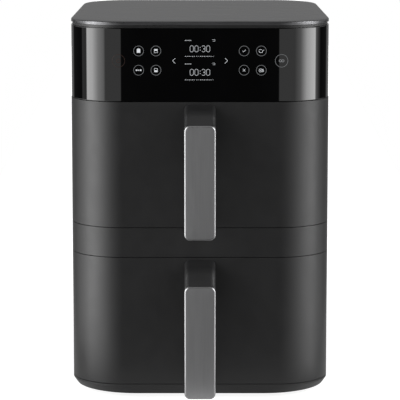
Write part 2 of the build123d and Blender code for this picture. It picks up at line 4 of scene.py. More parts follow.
import bmesh
import bpy
import numpy as np
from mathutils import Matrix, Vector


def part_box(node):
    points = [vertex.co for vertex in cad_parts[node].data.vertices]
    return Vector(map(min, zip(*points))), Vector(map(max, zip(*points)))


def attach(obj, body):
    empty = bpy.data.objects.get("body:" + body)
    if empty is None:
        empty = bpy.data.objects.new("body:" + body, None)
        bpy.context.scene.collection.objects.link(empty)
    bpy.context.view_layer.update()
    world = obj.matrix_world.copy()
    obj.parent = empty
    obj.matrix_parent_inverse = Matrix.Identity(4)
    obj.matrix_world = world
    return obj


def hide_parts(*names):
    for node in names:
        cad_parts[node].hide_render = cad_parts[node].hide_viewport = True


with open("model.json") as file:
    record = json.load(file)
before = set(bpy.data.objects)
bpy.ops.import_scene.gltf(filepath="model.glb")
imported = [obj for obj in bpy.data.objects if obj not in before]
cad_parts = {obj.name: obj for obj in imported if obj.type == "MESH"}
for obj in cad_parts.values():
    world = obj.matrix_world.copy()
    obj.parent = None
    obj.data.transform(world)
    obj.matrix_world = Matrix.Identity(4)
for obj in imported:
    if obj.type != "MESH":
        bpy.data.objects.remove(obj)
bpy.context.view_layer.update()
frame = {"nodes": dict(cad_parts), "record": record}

bl_info = {
    "name": "Two-drawer air fryer",
    "version": (1, 0, 0),
    "blender": (4, 5, 0),
    "location": "3D View > Sidebar > Air fryer",
    "description": "Builds the casing, panel, handles and finishes of a two-drawer air fryer "
                   "round its frame",
    "category": "Object",
}

MM = 0.001
DRAWERS = ("upper", "lower")

# ---- mesh steps ----
CORNER_STEPS = 48       # steps round one corner of the plan
STRAIGHT_STEPS = 6      # points along a straight stretch of the plan
BESIDE_CORNER = 0.6 * MM  # a point this near a corner keeps its shading off the straight
MERGE = 1e-6            # points nearer than this, in metres, become one
NO_AREA = 1e-7          # edges shorter than this, in metres, are taken out


# ---- the frame's own sizes ----
def low(node):
    """Lowest corner of a node's box."""
    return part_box(node)[0]


def high(node):
    """Highest corner of a node's box."""
    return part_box(node)[1]


FACE_Y = low("upper_drawer_front").y
SPLIT_Y = high("upper_drawer_front").y
BACK_Y = high("back_cover").y
WIDEST = high("upper_drawer_front").x


class ShapeSettings(bpy.types.PropertyGroup):
    """Sizes of the pieces that are built round the frame."""

    front_corner: bpy.props.FloatProperty(
        name="Front corner", description="Radius of the two front corners in plan",
        default=58 * MM, unit="LENGTH")
    rear_corner: bpy.props.FloatProperty(
        name="Rear corner", description="Radius of the two rear corners in plan",
        default=55 * MM, unit="LENGTH")
    taper: bpy.props.FloatProperty(
        name="Side taper", description="How far each side draws in between its two corners",
        default=5 * MM, unit="LENGTH")
    shell: bpy.props.FloatProperty(
        name="Shell", description="Wall of the moulded fronts", default=3 * MM, unit="LENGTH")
    ledge: bpy.props.FloatProperty(
        name="Ledge", description="How far a front's top and bottom edges reach in",
        default=12 * MM, unit="LENGTH")
    soft_edge: bpy.props.FloatProperty(
        name="Soft edge", description="Rounding of the moulded edges",
        default=0.3 * MM, unit="LENGTH")
    panel_inset: bpy.props.FloatProperty(
        name="Panel inset", description="How far the glossy panel lies behind the drawer faces",
        default=0.4 * MM, unit="LENGTH")
    lid_roll: bpy.props.FloatProperty(
        name="Lid roll", description="Rounding of the lid's upper edge",
        default=2.3 * MM, unit="LENGTH")
    grip_corner: bpy.props.FloatProperty(
        name="Handle corner", description="Corner radius of a handle's face plate",
        default=6.4 * MM, unit="LENGTH")
    grip_rim: bpy.props.FloatProperty(
        name="Handle rim", description="Width of the rounded rim of a face plate",
        default=1.9 * MM, unit="LENGTH")
    grip_crown: bpy.props.FloatProperty(
        name="Handle crown", description="How far a face plate's middle stands above its rim",
        default=0.22 * MM, unit="LENGTH")
    arm_edge: bpy.props.FloatProperty(
        name="Arm edge", description="Rounding of a handle arm's upper edges",
        default=5.2 * MM, unit="LENGTH")
    key_radius: bpy.props.FloatProperty(
        name="Key ring", description="Radius of a small key's ring",
        default=5.5 * MM, unit="LENGTH")
    key_line: bpy.props.FloatProperty(
        name="Key line", description="Line width of the key rings", default=0.4 * MM, unit="LENGTH")


class FinishSettings(bpy.types.PropertyGroup):
    """Colours and gloss of the finishes."""

    casing: bpy.props.FloatVectorProperty(
        name="Casing", description="Grained casing plastic", subtype="COLOR", size=3,
        default=(0.0058, 0.0058, 0.006), min=0, max=1)
    casing_gloss: bpy.props.FloatProperty(
        name="Casing roughness", description="Roughness of the casing plastic",
        default=0.38, min=0, max=1, subtype="FACTOR")
    panel: bpy.props.FloatVectorProperty(
        name="Panel", description="Glossy panel", subtype="COLOR", size=3,
        default=(0.0006, 0.0006, 0.0007), min=0, max=1)
    lid: bpy.props.FloatVectorProperty(
        name="Lid", description="Brushed lid metal", subtype="COLOR", size=3,
        default=(0.125, 0.125, 0.129), min=0, max=1)
    grip: bpy.props.FloatVectorProperty(
        name="Handle metal", description="Satin handle plates", subtype="COLOR", size=3,
        default=(0.33, 0.33, 0.335), min=0, max=1)
    lit: bpy.props.FloatVectorProperty(
        name="Lit marks", description="Colour of the lit symbols and digits",
        subtype="COLOR", size=3, default=(0.82, 0.85, 0.88), min=0, max=1)


class StudioSettings(bpy.types.PropertyGroup):
    """Camera, floor and light."""

    distance: bpy.props.FloatProperty(
        name="Camera distance", description="Camera's distance in front of the origin",
        default=2.757, unit="LENGTH")
    height: bpy.props.FloatProperty(
        name="Camera height", description="Camera's height above the floor",
        default=0.658, unit="LENGTH")
    pitch: bpy.props.FloatProperty(
        name="Camera pitch", description="How far the camera looks down",
        default=math.radians(9.334), subtype="ANGLE")
    lens: bpy.props.FloatProperty(
        name="Lens", description="Focal length on a 36 mm sensor", default=215.2, unit="CAMERA")
    strips: bpy.props.FloatProperty(
        name="Side strips", description="Brightness of the two tall side lights",
        default=8.0, min=0)
    overhead: bpy.props.FloatProperty(
        name="Overhead", description="Brightness of the light above", default=0.45, min=0)
    surround: bpy.props.FloatProperty(
        name="Surround", description="Brightness of the cards in front, level with the panel",
        default=0.8, min=0)
    back: bpy.props.FloatProperty(
        name="Back", description="Brightness of the room behind", default=0.27, min=0)
    fill: bpy.props.FloatProperty(
        name="Fill", description="Even light from everywhere", default=0.03, min=0)


# ---- meshes ----
def grid_faces(rows, columns, close_rows=False, close_columns=False):
    """Four-sided faces of a grid of rows times columns points, as index rows.
    Point (i, j) has index i * columns + j, and closed directions join last to first."""
    i = np.arange(rows if close_rows else rows - 1)[:, None]
    j = np.arange(columns if close_columns else columns - 1)[None, :]
    i2, j2 = (i + 1) % rows, (j + 1) % columns
    corners = (i * columns + j, i * columns + j2, i2 * columns + j2, i2 * columns + j)
    return np.stack(np.broadcast_arrays(*corners), -1).reshape(-1, 4)


def end_caps(rows, columns):
    """Faces that close the first and last row of a grid whose rows are closed rings."""
    return [list(range(columns)), list(range((rows - 1) * columns, rows * columns))]


def build(name, parts, smooth=32.0):
    """One mesh object from a list of (points, faces) pairs, with doubles merged, faces
    turned outwards and edges sharper than smooth degrees kept crisp."""
    points, faces, start = [], [], 0
    for part_points, part_faces in parts:
        flat = np.asarray(part_points, float).reshape(-1, 3)
        points.append(flat)
        faces += [[start + k for k in face] for face in part_faces]
        start += len(flat)
    mesh = bpy.data.meshes.new(name)
    mesh.from_pydata(np.concatenate(points), [], faces)
    work = bmesh.new()
    work.from_mesh(mesh)
    bmesh.ops.remove_doubles(work, verts=work.verts, dist=MERGE)
    bmesh.ops.dissolve_degenerate(work, edges=work.edges, dist=NO_AREA)
    bmesh.ops.recalc_face_normals(work, faces=work.faces)
    work.to_mesh(mesh)
    work.free()
    mesh.shade_smooth()
    mesh.set_sharp_from_angle(angle=math.radians(smooth))
    piece = bpy.data.objects.new(name, mesh)
    bpy.context.scene.collection.objects.link(piece)
    return piece


def settle(piece, body, slot, finish, *nodes):
    """Gives a piece its finish, its body and the nodes it stands for, which it hides. The slot
    argument is not used.
    """
    piece.data.materials.append(finish)
    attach(piece, body)
    if nodes:
        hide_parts(*nodes)


def quarter(steps):
    """Cosine and sine of a quarter turn, in equal steps, as columns."""
    turn = np.linspace(0, math.pi / 2, steps + 1)
    return np.cos(turn), np.sin(turn)


# ---- the plan outline ----
class Plan:
    """The casing's plan: straight sides that lean in towards the back, joined by arcs.
    A point on a corner is its centre plus radius times (sin a, -cos a), where a is the
    direction it faces, from 0 at the front to 180 degrees at the back."""

    CHORD_LOSS = 0.05 * MM  # the frame's arcs are short chords, so its box is a little narrow

    def __init__(self, shape):
        self.front_r, self.rear_r = shape.front_corner, shape.rear_corner
        self.front_y = FACE_Y + self.front_r
        self.rear_y = BACK_Y - self.rear_r
        lean = math.atan(shape.taper / (self.rear_y - self.front_y))
        half = WIDEST + self.CHORD_LOSS
        self.side_turn = math.pi / 2 + lean
        self.front_x = half - self.front_r / math.cos(lean)
        self.rear_x = half - shape.taper - self.rear_r / math.cos(lean)

    def arc(self, x, y, radius, first, last):
        """Points and facings of one corner."""
        turn = np.linspace(first, last, CORNER_STEPS + 1)
        facing = np.stack([np.sin(turn), -np.cos(turn)], -1)
        return np.array([x, y]) + radius * facing, facing

    @staticmethod
    def run(start, end, facing, count):
        """Points strictly between two ends of a straight stretch, closer near its ends."""
        near = BESIDE_CORNER / np.linalg.norm(end - start)
        share = np.concatenate([[near], np.linspace(0, 1, count + 2)[1:-1], [1 - near]])[:, None]
        return start + (end - start) * share, np.repeat(facing[None], len(share), 0)

    def front_corners(self):
        """The left and the right front corner, each as points and facings."""
        left = self.arc(-self.front_x, self.front_y, self.front_r, -self.side_turn, 0)
        right = self.arc(self.front_x, self.front_y, self.front_r, 0, self.side_turn)
        return left, right

    def front_stretch(self, end_y):
        """From the left side at end_y, round both front corners, to the right side at end_y."""
        left, right = self.front_corners()
        ends = []
        for points, facing, at in ((left[0], left[1], 0), (right[0], right[1], -1)):
            along = np.array([-facing[at][1], facing[at][0]])
            length = (end_y - points[at][1]) / along[1]
            ends.append(points[at] + along * length)
        first = self.run(ends[0], left[0][0], left[1][0], 0)
        middle = self.run(left[0][-1], right[0][0], left[1][-1], STRAIGHT_STEPS)
        last = self.run(right[0][-1], ends[1], right[1][-1], 0)
        points = [ends[0][None], first[0], left[0], middle[0], right[0], last[0], ends[1][None]]
        facing = [left[1][:1], first[1], left[1], middle[1], right[1], last[1], right[1][-1:]]
        return np.concatenate(points), np.concatenate(facing)

    def whole(self):
        """The closed outline."""
        left, right = self.front_corners()
        rear_left = self.arc(-self.rear_x, self.rear_y, self.rear_r, -math.pi, -self.side_turn)
        rear_right = self.arc(self.rear_x, self.rear_y, self.rear_r, self.side_turn, math.pi)
        stretches = []
        corners = (rear_left, left, right, rear_right)
        for corner, onward in zip(corners, corners[1:] + corners[:1]):
            stretches.append(corner)
            stretches.append(self.run(corner[0][-1], onward[0][0], corner[1][-1], STRAIGHT_STEPS))
        return np.concatenate([s[0] for s in stretches]), np.concatenate([s[1] for s in stretches])

    def place(self, along, inset):
        """Points and facings at arc lengths along the front, from its middle, drawn in by inset."""
        along = np.asarray(along, float)
        turn = np.clip((np.abs(along) - self.front_x) / self.front_r, 0, None) * np.sign(along)
        x = np.clip(along, -self.front_x, self.front_x)
        facing = np.stack([np.sin(turn), -np.cos(turn)], -1)
        centre = np.stack([x, np.full_like(x, self.front_y)], -1)
        return centre + (self.front_r - inset) * facing, facing


def carried(points, facing, inset, level):
    """A profile carried along the plan: each point is the outline's point less inset times
    its facing, at height level. Inset and level are rows, or one row for each station."""
    inset = np.broadcast_to(inset, (len(points), np.shape(inset)[-1]))
    level = np.broadcast_to(level, inset.shape)
    flat = points[:, None, :] - inset[..., None] * facing[:, None, :]
    return np.concatenate([flat, level[..., None]], -1)


LEDGE_DEPTH = 15 * MM  # the ledges of a front end this far behind the drawer faces
LEAST_LEDGE = 0.05 * MM  # and reach in past the wall by this at the least
BESIDE_EDGE = 0.5 * MM  # a point this near a rounded edge keeps its shading off the flat


def front_shell(name, shape, bottom, top, inset, wall):
    """A moulded front that wraps both corners. Its section is a closed C: outer face with
    rounded edges, ledges that reach in at top and bottom, and the inner face. The ledges
    end where they would pass an upright plane behind the drawer faces: there the inset is
    the corner's radius less the plane's distance from its centre over the facing's y."""
    plan = Plan(shape)
    points, facing = plan.front_stretch(SPLIT_Y)
    edge, near = shape.soft_edge, BESIDE_EDGE
    cos, sin = quarter(4)
    deep = plan.front_r - (plan.front_r - LEDGE_DEPTH) / np.clip(-facing[:, 1], 0.01, 1)
    ledge = np.clip(deep, wall + LEAST_LEDGE, shape.ledge)[:, None] - inset
    outer = np.concatenate([edge * (1 - sin), [0, 0], edge * (1 - cos)])
    rise = np.concatenate([bottom + edge * (1 - cos), [bottom + edge + near, top - edge - near],
                           top - edge * (1 - sin)])
    count = len(points)
    face, inner = np.repeat(outer[None], count, 0), np.full((count, 2), wall)
    columns = [face, ledge, ledge, inner, ledge, ledge]
    under, over = top - wall, bottom + wall
    level = np.concatenate([rise, [top, under, under, over, over, bottom]])
    grid = carried(points, facing, inset + np.concatenate(columns, 1), level)
    rows, cols = grid.shape[:2]
    faces = grid_faces(rows, cols, close_columns=True).tolist()
    return build(name, [(grid, faces + end_caps(rows, cols))])


LID_SIDE = 0.3 * MM   # the lid's edge lies this far inside the plan
LID_EDGE = 0.5 * MM   # height of the upright part of the edge
LID_WALL = 1.5 * MM   # thickness at the edge
LID_SHEET = 1.2 * MM  # thickness of the top
LID_EASE = 14 * MM    # how far the roll is drawn out towards the flat top
LID_FLAT = 20 * MM    # inset at which the flat caps begin
LID_DISH = 0.4 * MM   # the underside rises by this towards the middle


def lid_shell(name, shape):
    """The lid: a rolled edge carried round the whole plan, easing into a flat top, and a
    hollow underside. The roll is a quarter turn of the lid roll's radius, drawn in further
    by the ease times the cube of its share of the turn. Both faces end in a flat cap."""
    plan = Plan(shape)
    points, facing = plan.whole()
    base, top = low("top_cover").z, high("top_cover").z
    roll = shape.lid_roll
    cos, sin = quarter(20)
    ease = LID_EASE * np.linspace(0, 1, len(cos)) ** 3
    outer = np.concatenate([[LID_SIDE, LID_SIDE], LID_SIDE + roll * (1 - cos) + ease, [LID_FLAT]])
    rise = np.concatenate([[base, base + LID_EDGE], top - roll * (1 - sin), [top]])
    wall = LID_WALL + LID_SIDE
    under = np.array([wall, wall, LID_FLAT])
    under_level = np.array([base, top - LID_SHEET - LID_DISH, top - LID_SHEET])
    inset = np.concatenate([under[::-1], outer])
    level = np.concatenate([under_level[::-1], rise])
    grid = carried(points, facing, inset, level)
    rows, cols = grid.shape[:2]
    index = np.arange(rows) * cols
    caps = [index.tolist(), (index + cols - 1).tolist()]
    return build(name, [(grid, grid_faces(rows, cols, close_rows=True).tolist() + caps)])


# ---- handles ----
def bent(start, corner, end, radius, counts):
    """Two straight runs joined by an arc tangent to both, as three arrays of points.
    The arc's centre lies on the corner's bisector, radius over the sine of half the angle away."""
    start, corner, end = (np.array(p, float) for p in (start, corner, end))
    back, onward = start - corner, end - corner
    back, onward = back / np.linalg.norm(back), onward / np.linalg.norm(onward)
    half = math.acos(float(back @ onward)) / 2
    reach = radius / math.tan(half)
    middle = (back + onward) / np.linalg.norm(back + onward) * radius / math.sin(half)
    first, last = corner + back * reach, corner + onward * reach
    spoke_a, spoke_b = first - corner - middle, last - corner - middle
    share = np.linspace(0, 1, counts[1])[:, None]
    sweep = math.pi - 2 * half
    arc = np.sin((1 - share) * sweep) * spoke_a + np.sin(share * sweep) * spoke_b
    arc = arc / math.sin(sweep)
    head = start + (first - start) * np.linspace(0, 1, counts[0])[:-1, None]
    tail = last + (end - last) * np.linspace(0, 1, counts[2])[1:, None]
    return head, corner + middle + arc, tail


def rounded_sections(half, thick, outer_r, inner_r, steps=6, near=0.4 * MM):
    """Rounded rectangles, one for each station: across runs over plus and minus half, and
    in from 0 at the outer face to thick at the inner one. Each corner is a quarter circle
    with one more point just before and after it."""
    turn = np.linspace(0, math.pi / 2, steps + 1)
    columns = []
    corners = ((1, 0, outer_r, -math.pi / 2), (1, 1, inner_r, 0),
               (-1, 1, inner_r, math.pi / 2), (-1, 0, outer_r, math.pi))
    for side, deep, radius, first in corners:
        centre = np.stack([side * (half - radius), np.where(deep, thick - radius, radius)], -1)
        angle = first + turn
        spoke = np.stack([np.cos(angle), np.sin(angle)], -1)
        arc = centre[:, None] + radius[:, None, None] * spoke[None]
        before = arc[:, :1] - near * np.array([-spoke[0, 1], spoke[0, 0]])
        after = arc[:, -1:] + near * np.array([-spoke[-1, 1], spoke[-1, 0]])
        columns += [before, arc, after]
    return np.concatenate(columns, 1)


GRIP_DEPTH = 8.3 * MM        # front to back of the arm behind the face plate
CROWN_REACH = 0.55           # the top's bend, as a share of the way out to the face plate
CROWN_FALL = 0.30            # and as a share of the way down from the top to the plate
CROWN_BEND = 45 * MM         # radius of that bend
THROAT_DROP = 42 * MM        # the arm's height where it meets the drawer
THROAT_BELOW = 22 * MM       # the inner bend, below the plate's top
THROAT_BEND = 13 * MM        # radius of the inner bend
CROWN_STEPS = (8, 14, 10)    # points before, round and after the top's bend
THROAT_STEPS = (8, 14, 3)    # the same for the inner bend
LOWER_EDGE = 1.2 * MM        # rounding of the outer edges behind the plate
ROOT_EDGE, GRIP_EDGE = 5.0 * MM, 3.5 * MM  # rounding of the inner edges, root and grip


def handle_arm(name, drawer, shape):
    """A handle's arm: rounded rectangles spanned between an outer curve and an inner curve
    in the upright middle plane, from the drawer's face out to the foot of the grip."""
    arm_low, arm_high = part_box(f"{drawer}_handle_arm")
    plate_high = high(f"{drawer}_handle_plate")
    grip_face = FACE_Y - plate_high.y
    grip_back = grip_face - GRIP_DEPTH
    half = arm_high.x
    top, end, grip_top = arm_high.z, arm_low.z, plate_high.z
    crown = (CROWN_REACH * grip_face, top - CROWN_FALL * (top - grip_top))
    outer = bent((0, top), crown, (grip_face, grip_top), CROWN_BEND, CROWN_STEPS)
    outer = np.concatenate(outer)
    throat = bent((0, top - THROAT_DROP), (grip_back, grip_top - THROAT_BELOW), (grip_back, end),
                  THROAT_BEND, THROAT_STEPS)
    knee, foot_start = THROAT_STEPS[1], throat[1][-1][1]
    slope = np.linspace(0, 1, len(outer))[:, None]
    inner = throat[0][0] + (throat[1][0] - throat[0][0]) * slope
    drop = np.linspace(grip_top, foot_start, knee)[1:]
    outer = np.concatenate([outer, np.stack([np.full(knee - 1, grip_face), drop], -1)])
    inner = np.concatenate([inner, throat[1][1:]])
    corner = shape.grip_corner
    cos, sin = quarter(10)
    straight = np.linspace(foot_start, end + corner, 12)[1:-1]
    levels = np.concatenate([straight, end + corner * (1 - sin)])
    outer = np.concatenate([outer, np.stack([np.full(len(levels), grip_face), levels], -1)])
    inner = np.concatenate([inner, np.stack([np.full(len(levels), grip_back), levels], -1)])
    width = np.full(len(outer), half)
    width[-len(cos):] = half - corner * (1 - cos)
    across = inner - outer
    thick = np.linalg.norm(across, axis=1)
    across = across / thick[:, None]
    stations = np.arange(len(outer))
    outer_r = np.interp(stations, [28, 36], [shape.arm_edge, LOWER_EDGE])
    inner_r = np.interp(stations, [0, 44], [ROOT_EDGE, GRIP_EDGE])
    section = rounded_sections(width, thick, outer_r, inner_r)
    upright = outer[:, None] + across[:, None] * section[..., 1:]
    grid = np.stack([section[..., 0], FACE_Y - upright[..., 0], upright[..., 1]], -1)
    rows, cols = grid.shape[:2]
    faces = grid_faces(rows, cols, close_columns=True).tolist()
    return build(name, [(grid, faces + end_caps(rows, cols))])


PLATE_BACK = 0.5 * MM   # the plate's back edge is drawn in by this
PLATE_SIDE = (0.4 * MM, 0.9 * MM)  # where its upright side starts and ends
PLATE_RIM_FOOT = 1.3 * MM  # and where its rounded rim starts


def handle_face(name, drawer, shape):
    """A handle's face plate. Its outline is a rounded rectangle; the rim is a quarter
    ellipse carried round it, and the crowned face draws the rim's points in to the plate's
    middle line, its height falling with the square of the distance from that line."""
    plate_low, plate_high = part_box(f"{drawer}_handle_plate")
    half, corner, rim = plate_high.x, shape.grip_corner, shape.grip_rim
    bottom, top = plate_low.z, plate_high.z
    thick = plate_high.y - plate_low.y
    cos, sin = quarter(12)
    side = np.linspace(bottom + corner, top - corner, 24)[1:-1]
    lift = np.linspace(-(half - corner), half - corner, 8)[1:-1]
    right = np.stack([np.full_like(side, half), side], -1)
    up_right = np.stack([half - corner * (1 - cos), top - corner * (1 - sin)], -1)
    up = np.stack([-lift, np.full_like(lift, top)], -1)
    up_left = (up_right * [-1, 1])[::-1]
    left = (right * [-1, 1])[::-1]
    down_left = up_left * [1, -1] + [0, top + bottom]
    down = np.stack([lift, np.full_like(lift, bottom)], -1)
    down_right = up_right * [1, -1] + [0, top + bottom]
    outline = np.concatenate([right, up_right, up, up_left, left,
                              down_left[::-1], down, down_right[::-1]])
    spine = np.stack([np.zeros(len(outline)),
                      np.clip(outline[:, 1], bottom + half, top - half)], -1)
    towards = outline - np.stack([np.clip(outline[:, 0], corner - half, half - corner),
                                  np.clip(outline[:, 1], bottom + corner, top - corner)], -1)
    facing = towards / np.linalg.norm(towards, axis=1)[:, None]
    cos, sin = quarter(8)
    inset = np.concatenate([[PLATE_BACK, 0, 0], rim * (1 - cos)])
    rim_top = thick - shape.grip_crown
    depth = np.concatenate([[0, *PLATE_SIDE], rim_top - (rim_top - PLATE_RIM_FOOT) * (1 - sin)])
    ring = outline[:, None] - inset[None, :, None] * facing[:, None]
    share = np.array([0.985, 0.93, 0.82, 0.66, 0.48, 0.3, 0.14, 0.0])
    edge = ring[:, -1] - spine
    face = spine[:, None] + edge[:, None] * share[None, :, None]
    face_depth = thick - shape.grip_crown * share ** 2
    flat = np.concatenate([ring, face], 1)
    reach = np.broadcast_to(np.concatenate([depth, face_depth]), flat.shape[:2])
    grid = np.stack([flat[..., 0], plate_high.y - reach, flat[..., 1]], -1)
    rows, cols = grid.shape[:2]
    back = (np.arange(rows) * cols).tolist()
    return build(name, [(grid, grid_faces(rows, cols, close_rows=True).tolist() + [back])])


# ---- marks on the panel ----
MARK_BASE = 0.02 * MM  # the marks' backs stand this far off the panel
MARK_FACE = 0.10 * MM  # and their faces this far


def tape(plan, line, width, inset, closed=False):
    """A flat tape on the panel: a thin rectangle carried along a line given as distances
    along the front and heights. Corners are mitred: each side point is half the width away
    along the mean of the two neighbours' normals, over the cosine of half the turn."""
    line = np.asarray(line, float)
    if closed:
        ahead, behind = np.roll(line, -1, 0) - line, line - np.roll(line, 1, 0)
    else:
        step = np.diff(line, axis=0)
        ahead, behind = np.concatenate([step, step[-1:]]), np.concatenate([step[:1], step])
    ahead = ahead / np.linalg.norm(ahead, axis=1)[:, None]
    behind = behind / np.linalg.norm(behind, axis=1)[:, None]
    mean = ahead + behind
    mean = mean / np.linalg.norm(mean, axis=1)[:, None]
    stretch = 1 / np.clip((mean * ahead).sum(1), 0.5, 1)
    sideways = np.stack([-mean[:, 1], mean[:, 0]], -1) * (stretch * width / 2)[:, None]
    edges = np.stack([line - sideways, line + sideways, line + sideways, line - sideways], 1)
    lifts = np.array([MARK_BASE, MARK_BASE, MARK_FACE, MARK_FACE])
    places, facing = plan.place(edges[..., 0], inset)
    flat = places + facing * lifts[None, :, None]
    grid = np.concatenate([flat, edges[..., 1:]], -1)
    faces = grid_faces(len(line), 4, close_rows=closed, close_columns=True).tolist()
    if not closed:
        faces += end_caps(len(line), 4)
    return grid, faces


def circle(x, z, radius, first=0.0, last=360.0, steps=40):
    """Points of a circle, or of part of one, by angle from the right-hand side."""
    turn = np.radians(np.linspace(first, last, steps + 1))
    if abs(last - first) >= 360:
        turn = turn[:-1]
    return np.stack([x + radius * np.cos(turn), z + radius * np.sin(turn)], -1)


def symbol_strokes(kind, x, z):
    """One key's symbol as (line, width, closed) strokes, in millimetres about its centre."""
    square = [(-1.7, -1.9), (1.7, -1.9), (1.7, 1.9), (-1.7, 1.9)]
    pan = [(-2.6, 0.5), (-2.1, -1.7), (1.0, -1.7), (1.5, 0.5)]
    strokes = {
        "full": [([(-1.9, 0), (1.9, 0)], 4.0, False), ([(-1.3, 2.4), (1.3, 2.4)], 0.5, False)],
        "upper": [(square, 0.35, True), ([(-1.6, 1.0), (1.6, 1.0)], 1.7, False)],
        "lower": [(square, 0.35, True), ([(-1.6, -1.0), (1.6, -1.0)], 1.7, False)],
        "pair": [([(-3.1, 0), (-1.3, 0)], 1.5, False), ([(-0.7, 0), (0.7, 0)], 1.0, False),
                 ([(1.3, 0), (3.1, 0)], 1.5, False)],
        "tick": [([(-1.6, 0.1), (-0.5, -1.1), (1.8, 1.3)], 0.38, False)],
        "cross": [([(-1.3, -1.3), (1.3, 1.3)], 0.38, False),
                  ([(-1.3, 1.3), (1.3, -1.3)], 0.38, False)],
        "pan": [(pan, 0.4, False), ([(1.5, 0.3), (3.1, 1.0)], 0.4, False),
                ([(-2.5, 1.5), (0.6, 1.5)], 0.4, False)],
        "food": [(circle(-0.7, -0.2, 1.7), 0.4, True), ([(0.2, 0.9), (2.5, 0.9)], 0.4, False),
                 (circle(1.6, -0.7, 0.9), 0.45, True), ([(-1.2, -0.3), (-0.2, -0.3)], 0.8, False)],
        "both": [(circle(-1.45, 0, 1.25), 0.55, True), (circle(1.45, 0, 1.25), 0.55, True)],
        "left": [([(1.5, 2.9), (-1.5, 0), (1.5, -2.9)], 0.36, False)],
        "right": [([(-1.5, 2.9), (1.5, 0), (-1.5, -2.9)], 0.36, False)],
        "power": [(circle(0, 0, 2.1, 120, 420), 0.6, False), ([(0, 0.6), (0, 2.9)], 0.6, False)],
    }
    return [(np.asarray(line, float) + (x, z), width, closed)
            for line, width, closed in strokes[kind]]


# distance along the front from its middle, height above the panel's lower edge, in mm
UPPER_ROW, MIDDLE_ROW, LOWER_ROW = 56.3, 45.4, 35.0
NEAR_KEY, FAR_KEY, END_KEY = 48.6, 67.6, 90.0
END_RADIUS = 7.0
KEYS = (
    ("full", -67.7, UPPER_ROW), ("upper", -NEAR_KEY, UPPER_ROW),
    ("pair", -67.7, LOWER_ROW), ("lower", -NEAR_KEY, LOWER_ROW),
    ("tick", NEAR_KEY, UPPER_ROW), ("pan", FAR_KEY, UPPER_ROW),
    ("cross", NEAR_KEY, LOWER_ROW), ("food", FAR_KEY, LOWER_ROW),
)
ARROWS = (("left", -28.8, MIDDLE_ROW), ("right", 29.0, MIDDLE_ROW))


def panel_foot():
    """Height of the panel's lower edge."""
    return low("control_panel").z


def marks(name, shape, strokes):
    """One object of tapes from strokes in millimetres on the panel."""
    plan = Plan(shape)
    parts = []
    for line, width, closed in strokes:
        line = np.asarray(line, float) * MM + (0, panel_foot())
        parts.append(tape(plan, line, width * MM, shape.panel_inset, closed))
    return build(name, parts)


# the two timers, in mm
TIMER_FEET = (55.2, 29.2)  # heights of the digits' feet
TIMER_LEFT = -11.0         # where the first digit starts
DIGIT_WIDTH = 3.8
DIGIT_HEIGHT = 6.9
DIGIT_LINE = 0.46
DIGIT_GAP = 1.4
COLON_STEP = 2.5
COLON_DOTS = (2.0, 4.9)


def digit_strokes(kind, x, z):
    """A slender digit or colon. Its lower left corner is at (x, z)."""
    w, h, line = DIGIT_WIDTH, DIGIT_HEIGHT, DIGIT_LINE
    r = w / 2
    if kind == "0":
        over, under = circle(x + r, z + h - r, r, 0, 180, 12), circle(x + r, z + r, r, 180, 360, 12)
        return [(np.concatenate([over, under]), line, True)]
    if kind == "3":
        bowl = circle(x + r, z + r, r, -150, 90, 14)
        top = circle(x + r, z + h - r, r, -90, 150, 14)
        return [(bowl, line, False), (top, line, False)]
    return [([(x + 0.4, z + rise), (x + 1.2, z + rise)], 0.8, False) for rise in COLON_DOTS]


def readout_strokes(foot):
    """Digits of one timer, with its foot at this height."""
    strokes, x = [], TIMER_LEFT
    for kind in "00:30":
        strokes += digit_strokes(kind, x, foot)
        x += COLON_STEP if kind == ":" else DIGIT_WIDTH + DIGIT_GAP
    return strokes


# plain dashes round a timer: height from its foot, line width, gap, and lengths, where a
# length of 0 leaves a wider gap
DASH_LEFT = -16.6
DASH_ROWS = (
    (12.7, 0.75, 0.45, (1.3, 0.8, 1.1, 0.7, 1.2)),
    (-4.9, 0.6, 0.8, (1.5, 0.9, 1.3, 0.8, 1.6, 0.9, 0, 0.8, 0.7, 0, 1.6, 1.0, 1.4, 0.8, 1.3, 0.9,
                      1.0, 0.3, 0.3)),
)


def caption_strokes(foot):
    """Plain dashes above and below one timer, and a small turned line at its right."""
    strokes = []
    for rise, width, gap, lengths in DASH_ROWS:
        x = DASH_LEFT
        for length in lengths:
            if length:
                strokes.append(([(x, foot + rise), (x + length, foot + rise)], width, False))
            x += length + gap
    turned = [(13.4, 13.6), (16.4, 13.6), (16.4, 11.8), (14.0, 11.8)]
    strokes.append(([(x, foot + rise) for x, rise in turned], 0.35, False))
    return strokes


# ---- springs behind the keys ----
SPRING_RADIUS = 3.6 * MM
SPRING_WIRE = 0.35 * MM  # radius of the wire
SPRING_TURNS = 6
SPRING_COLUMNS = (NEAR_KEY, 67.3)
SPRING_DROP = 0.25 * MM  # the springs' rows lie this far below the keys' own


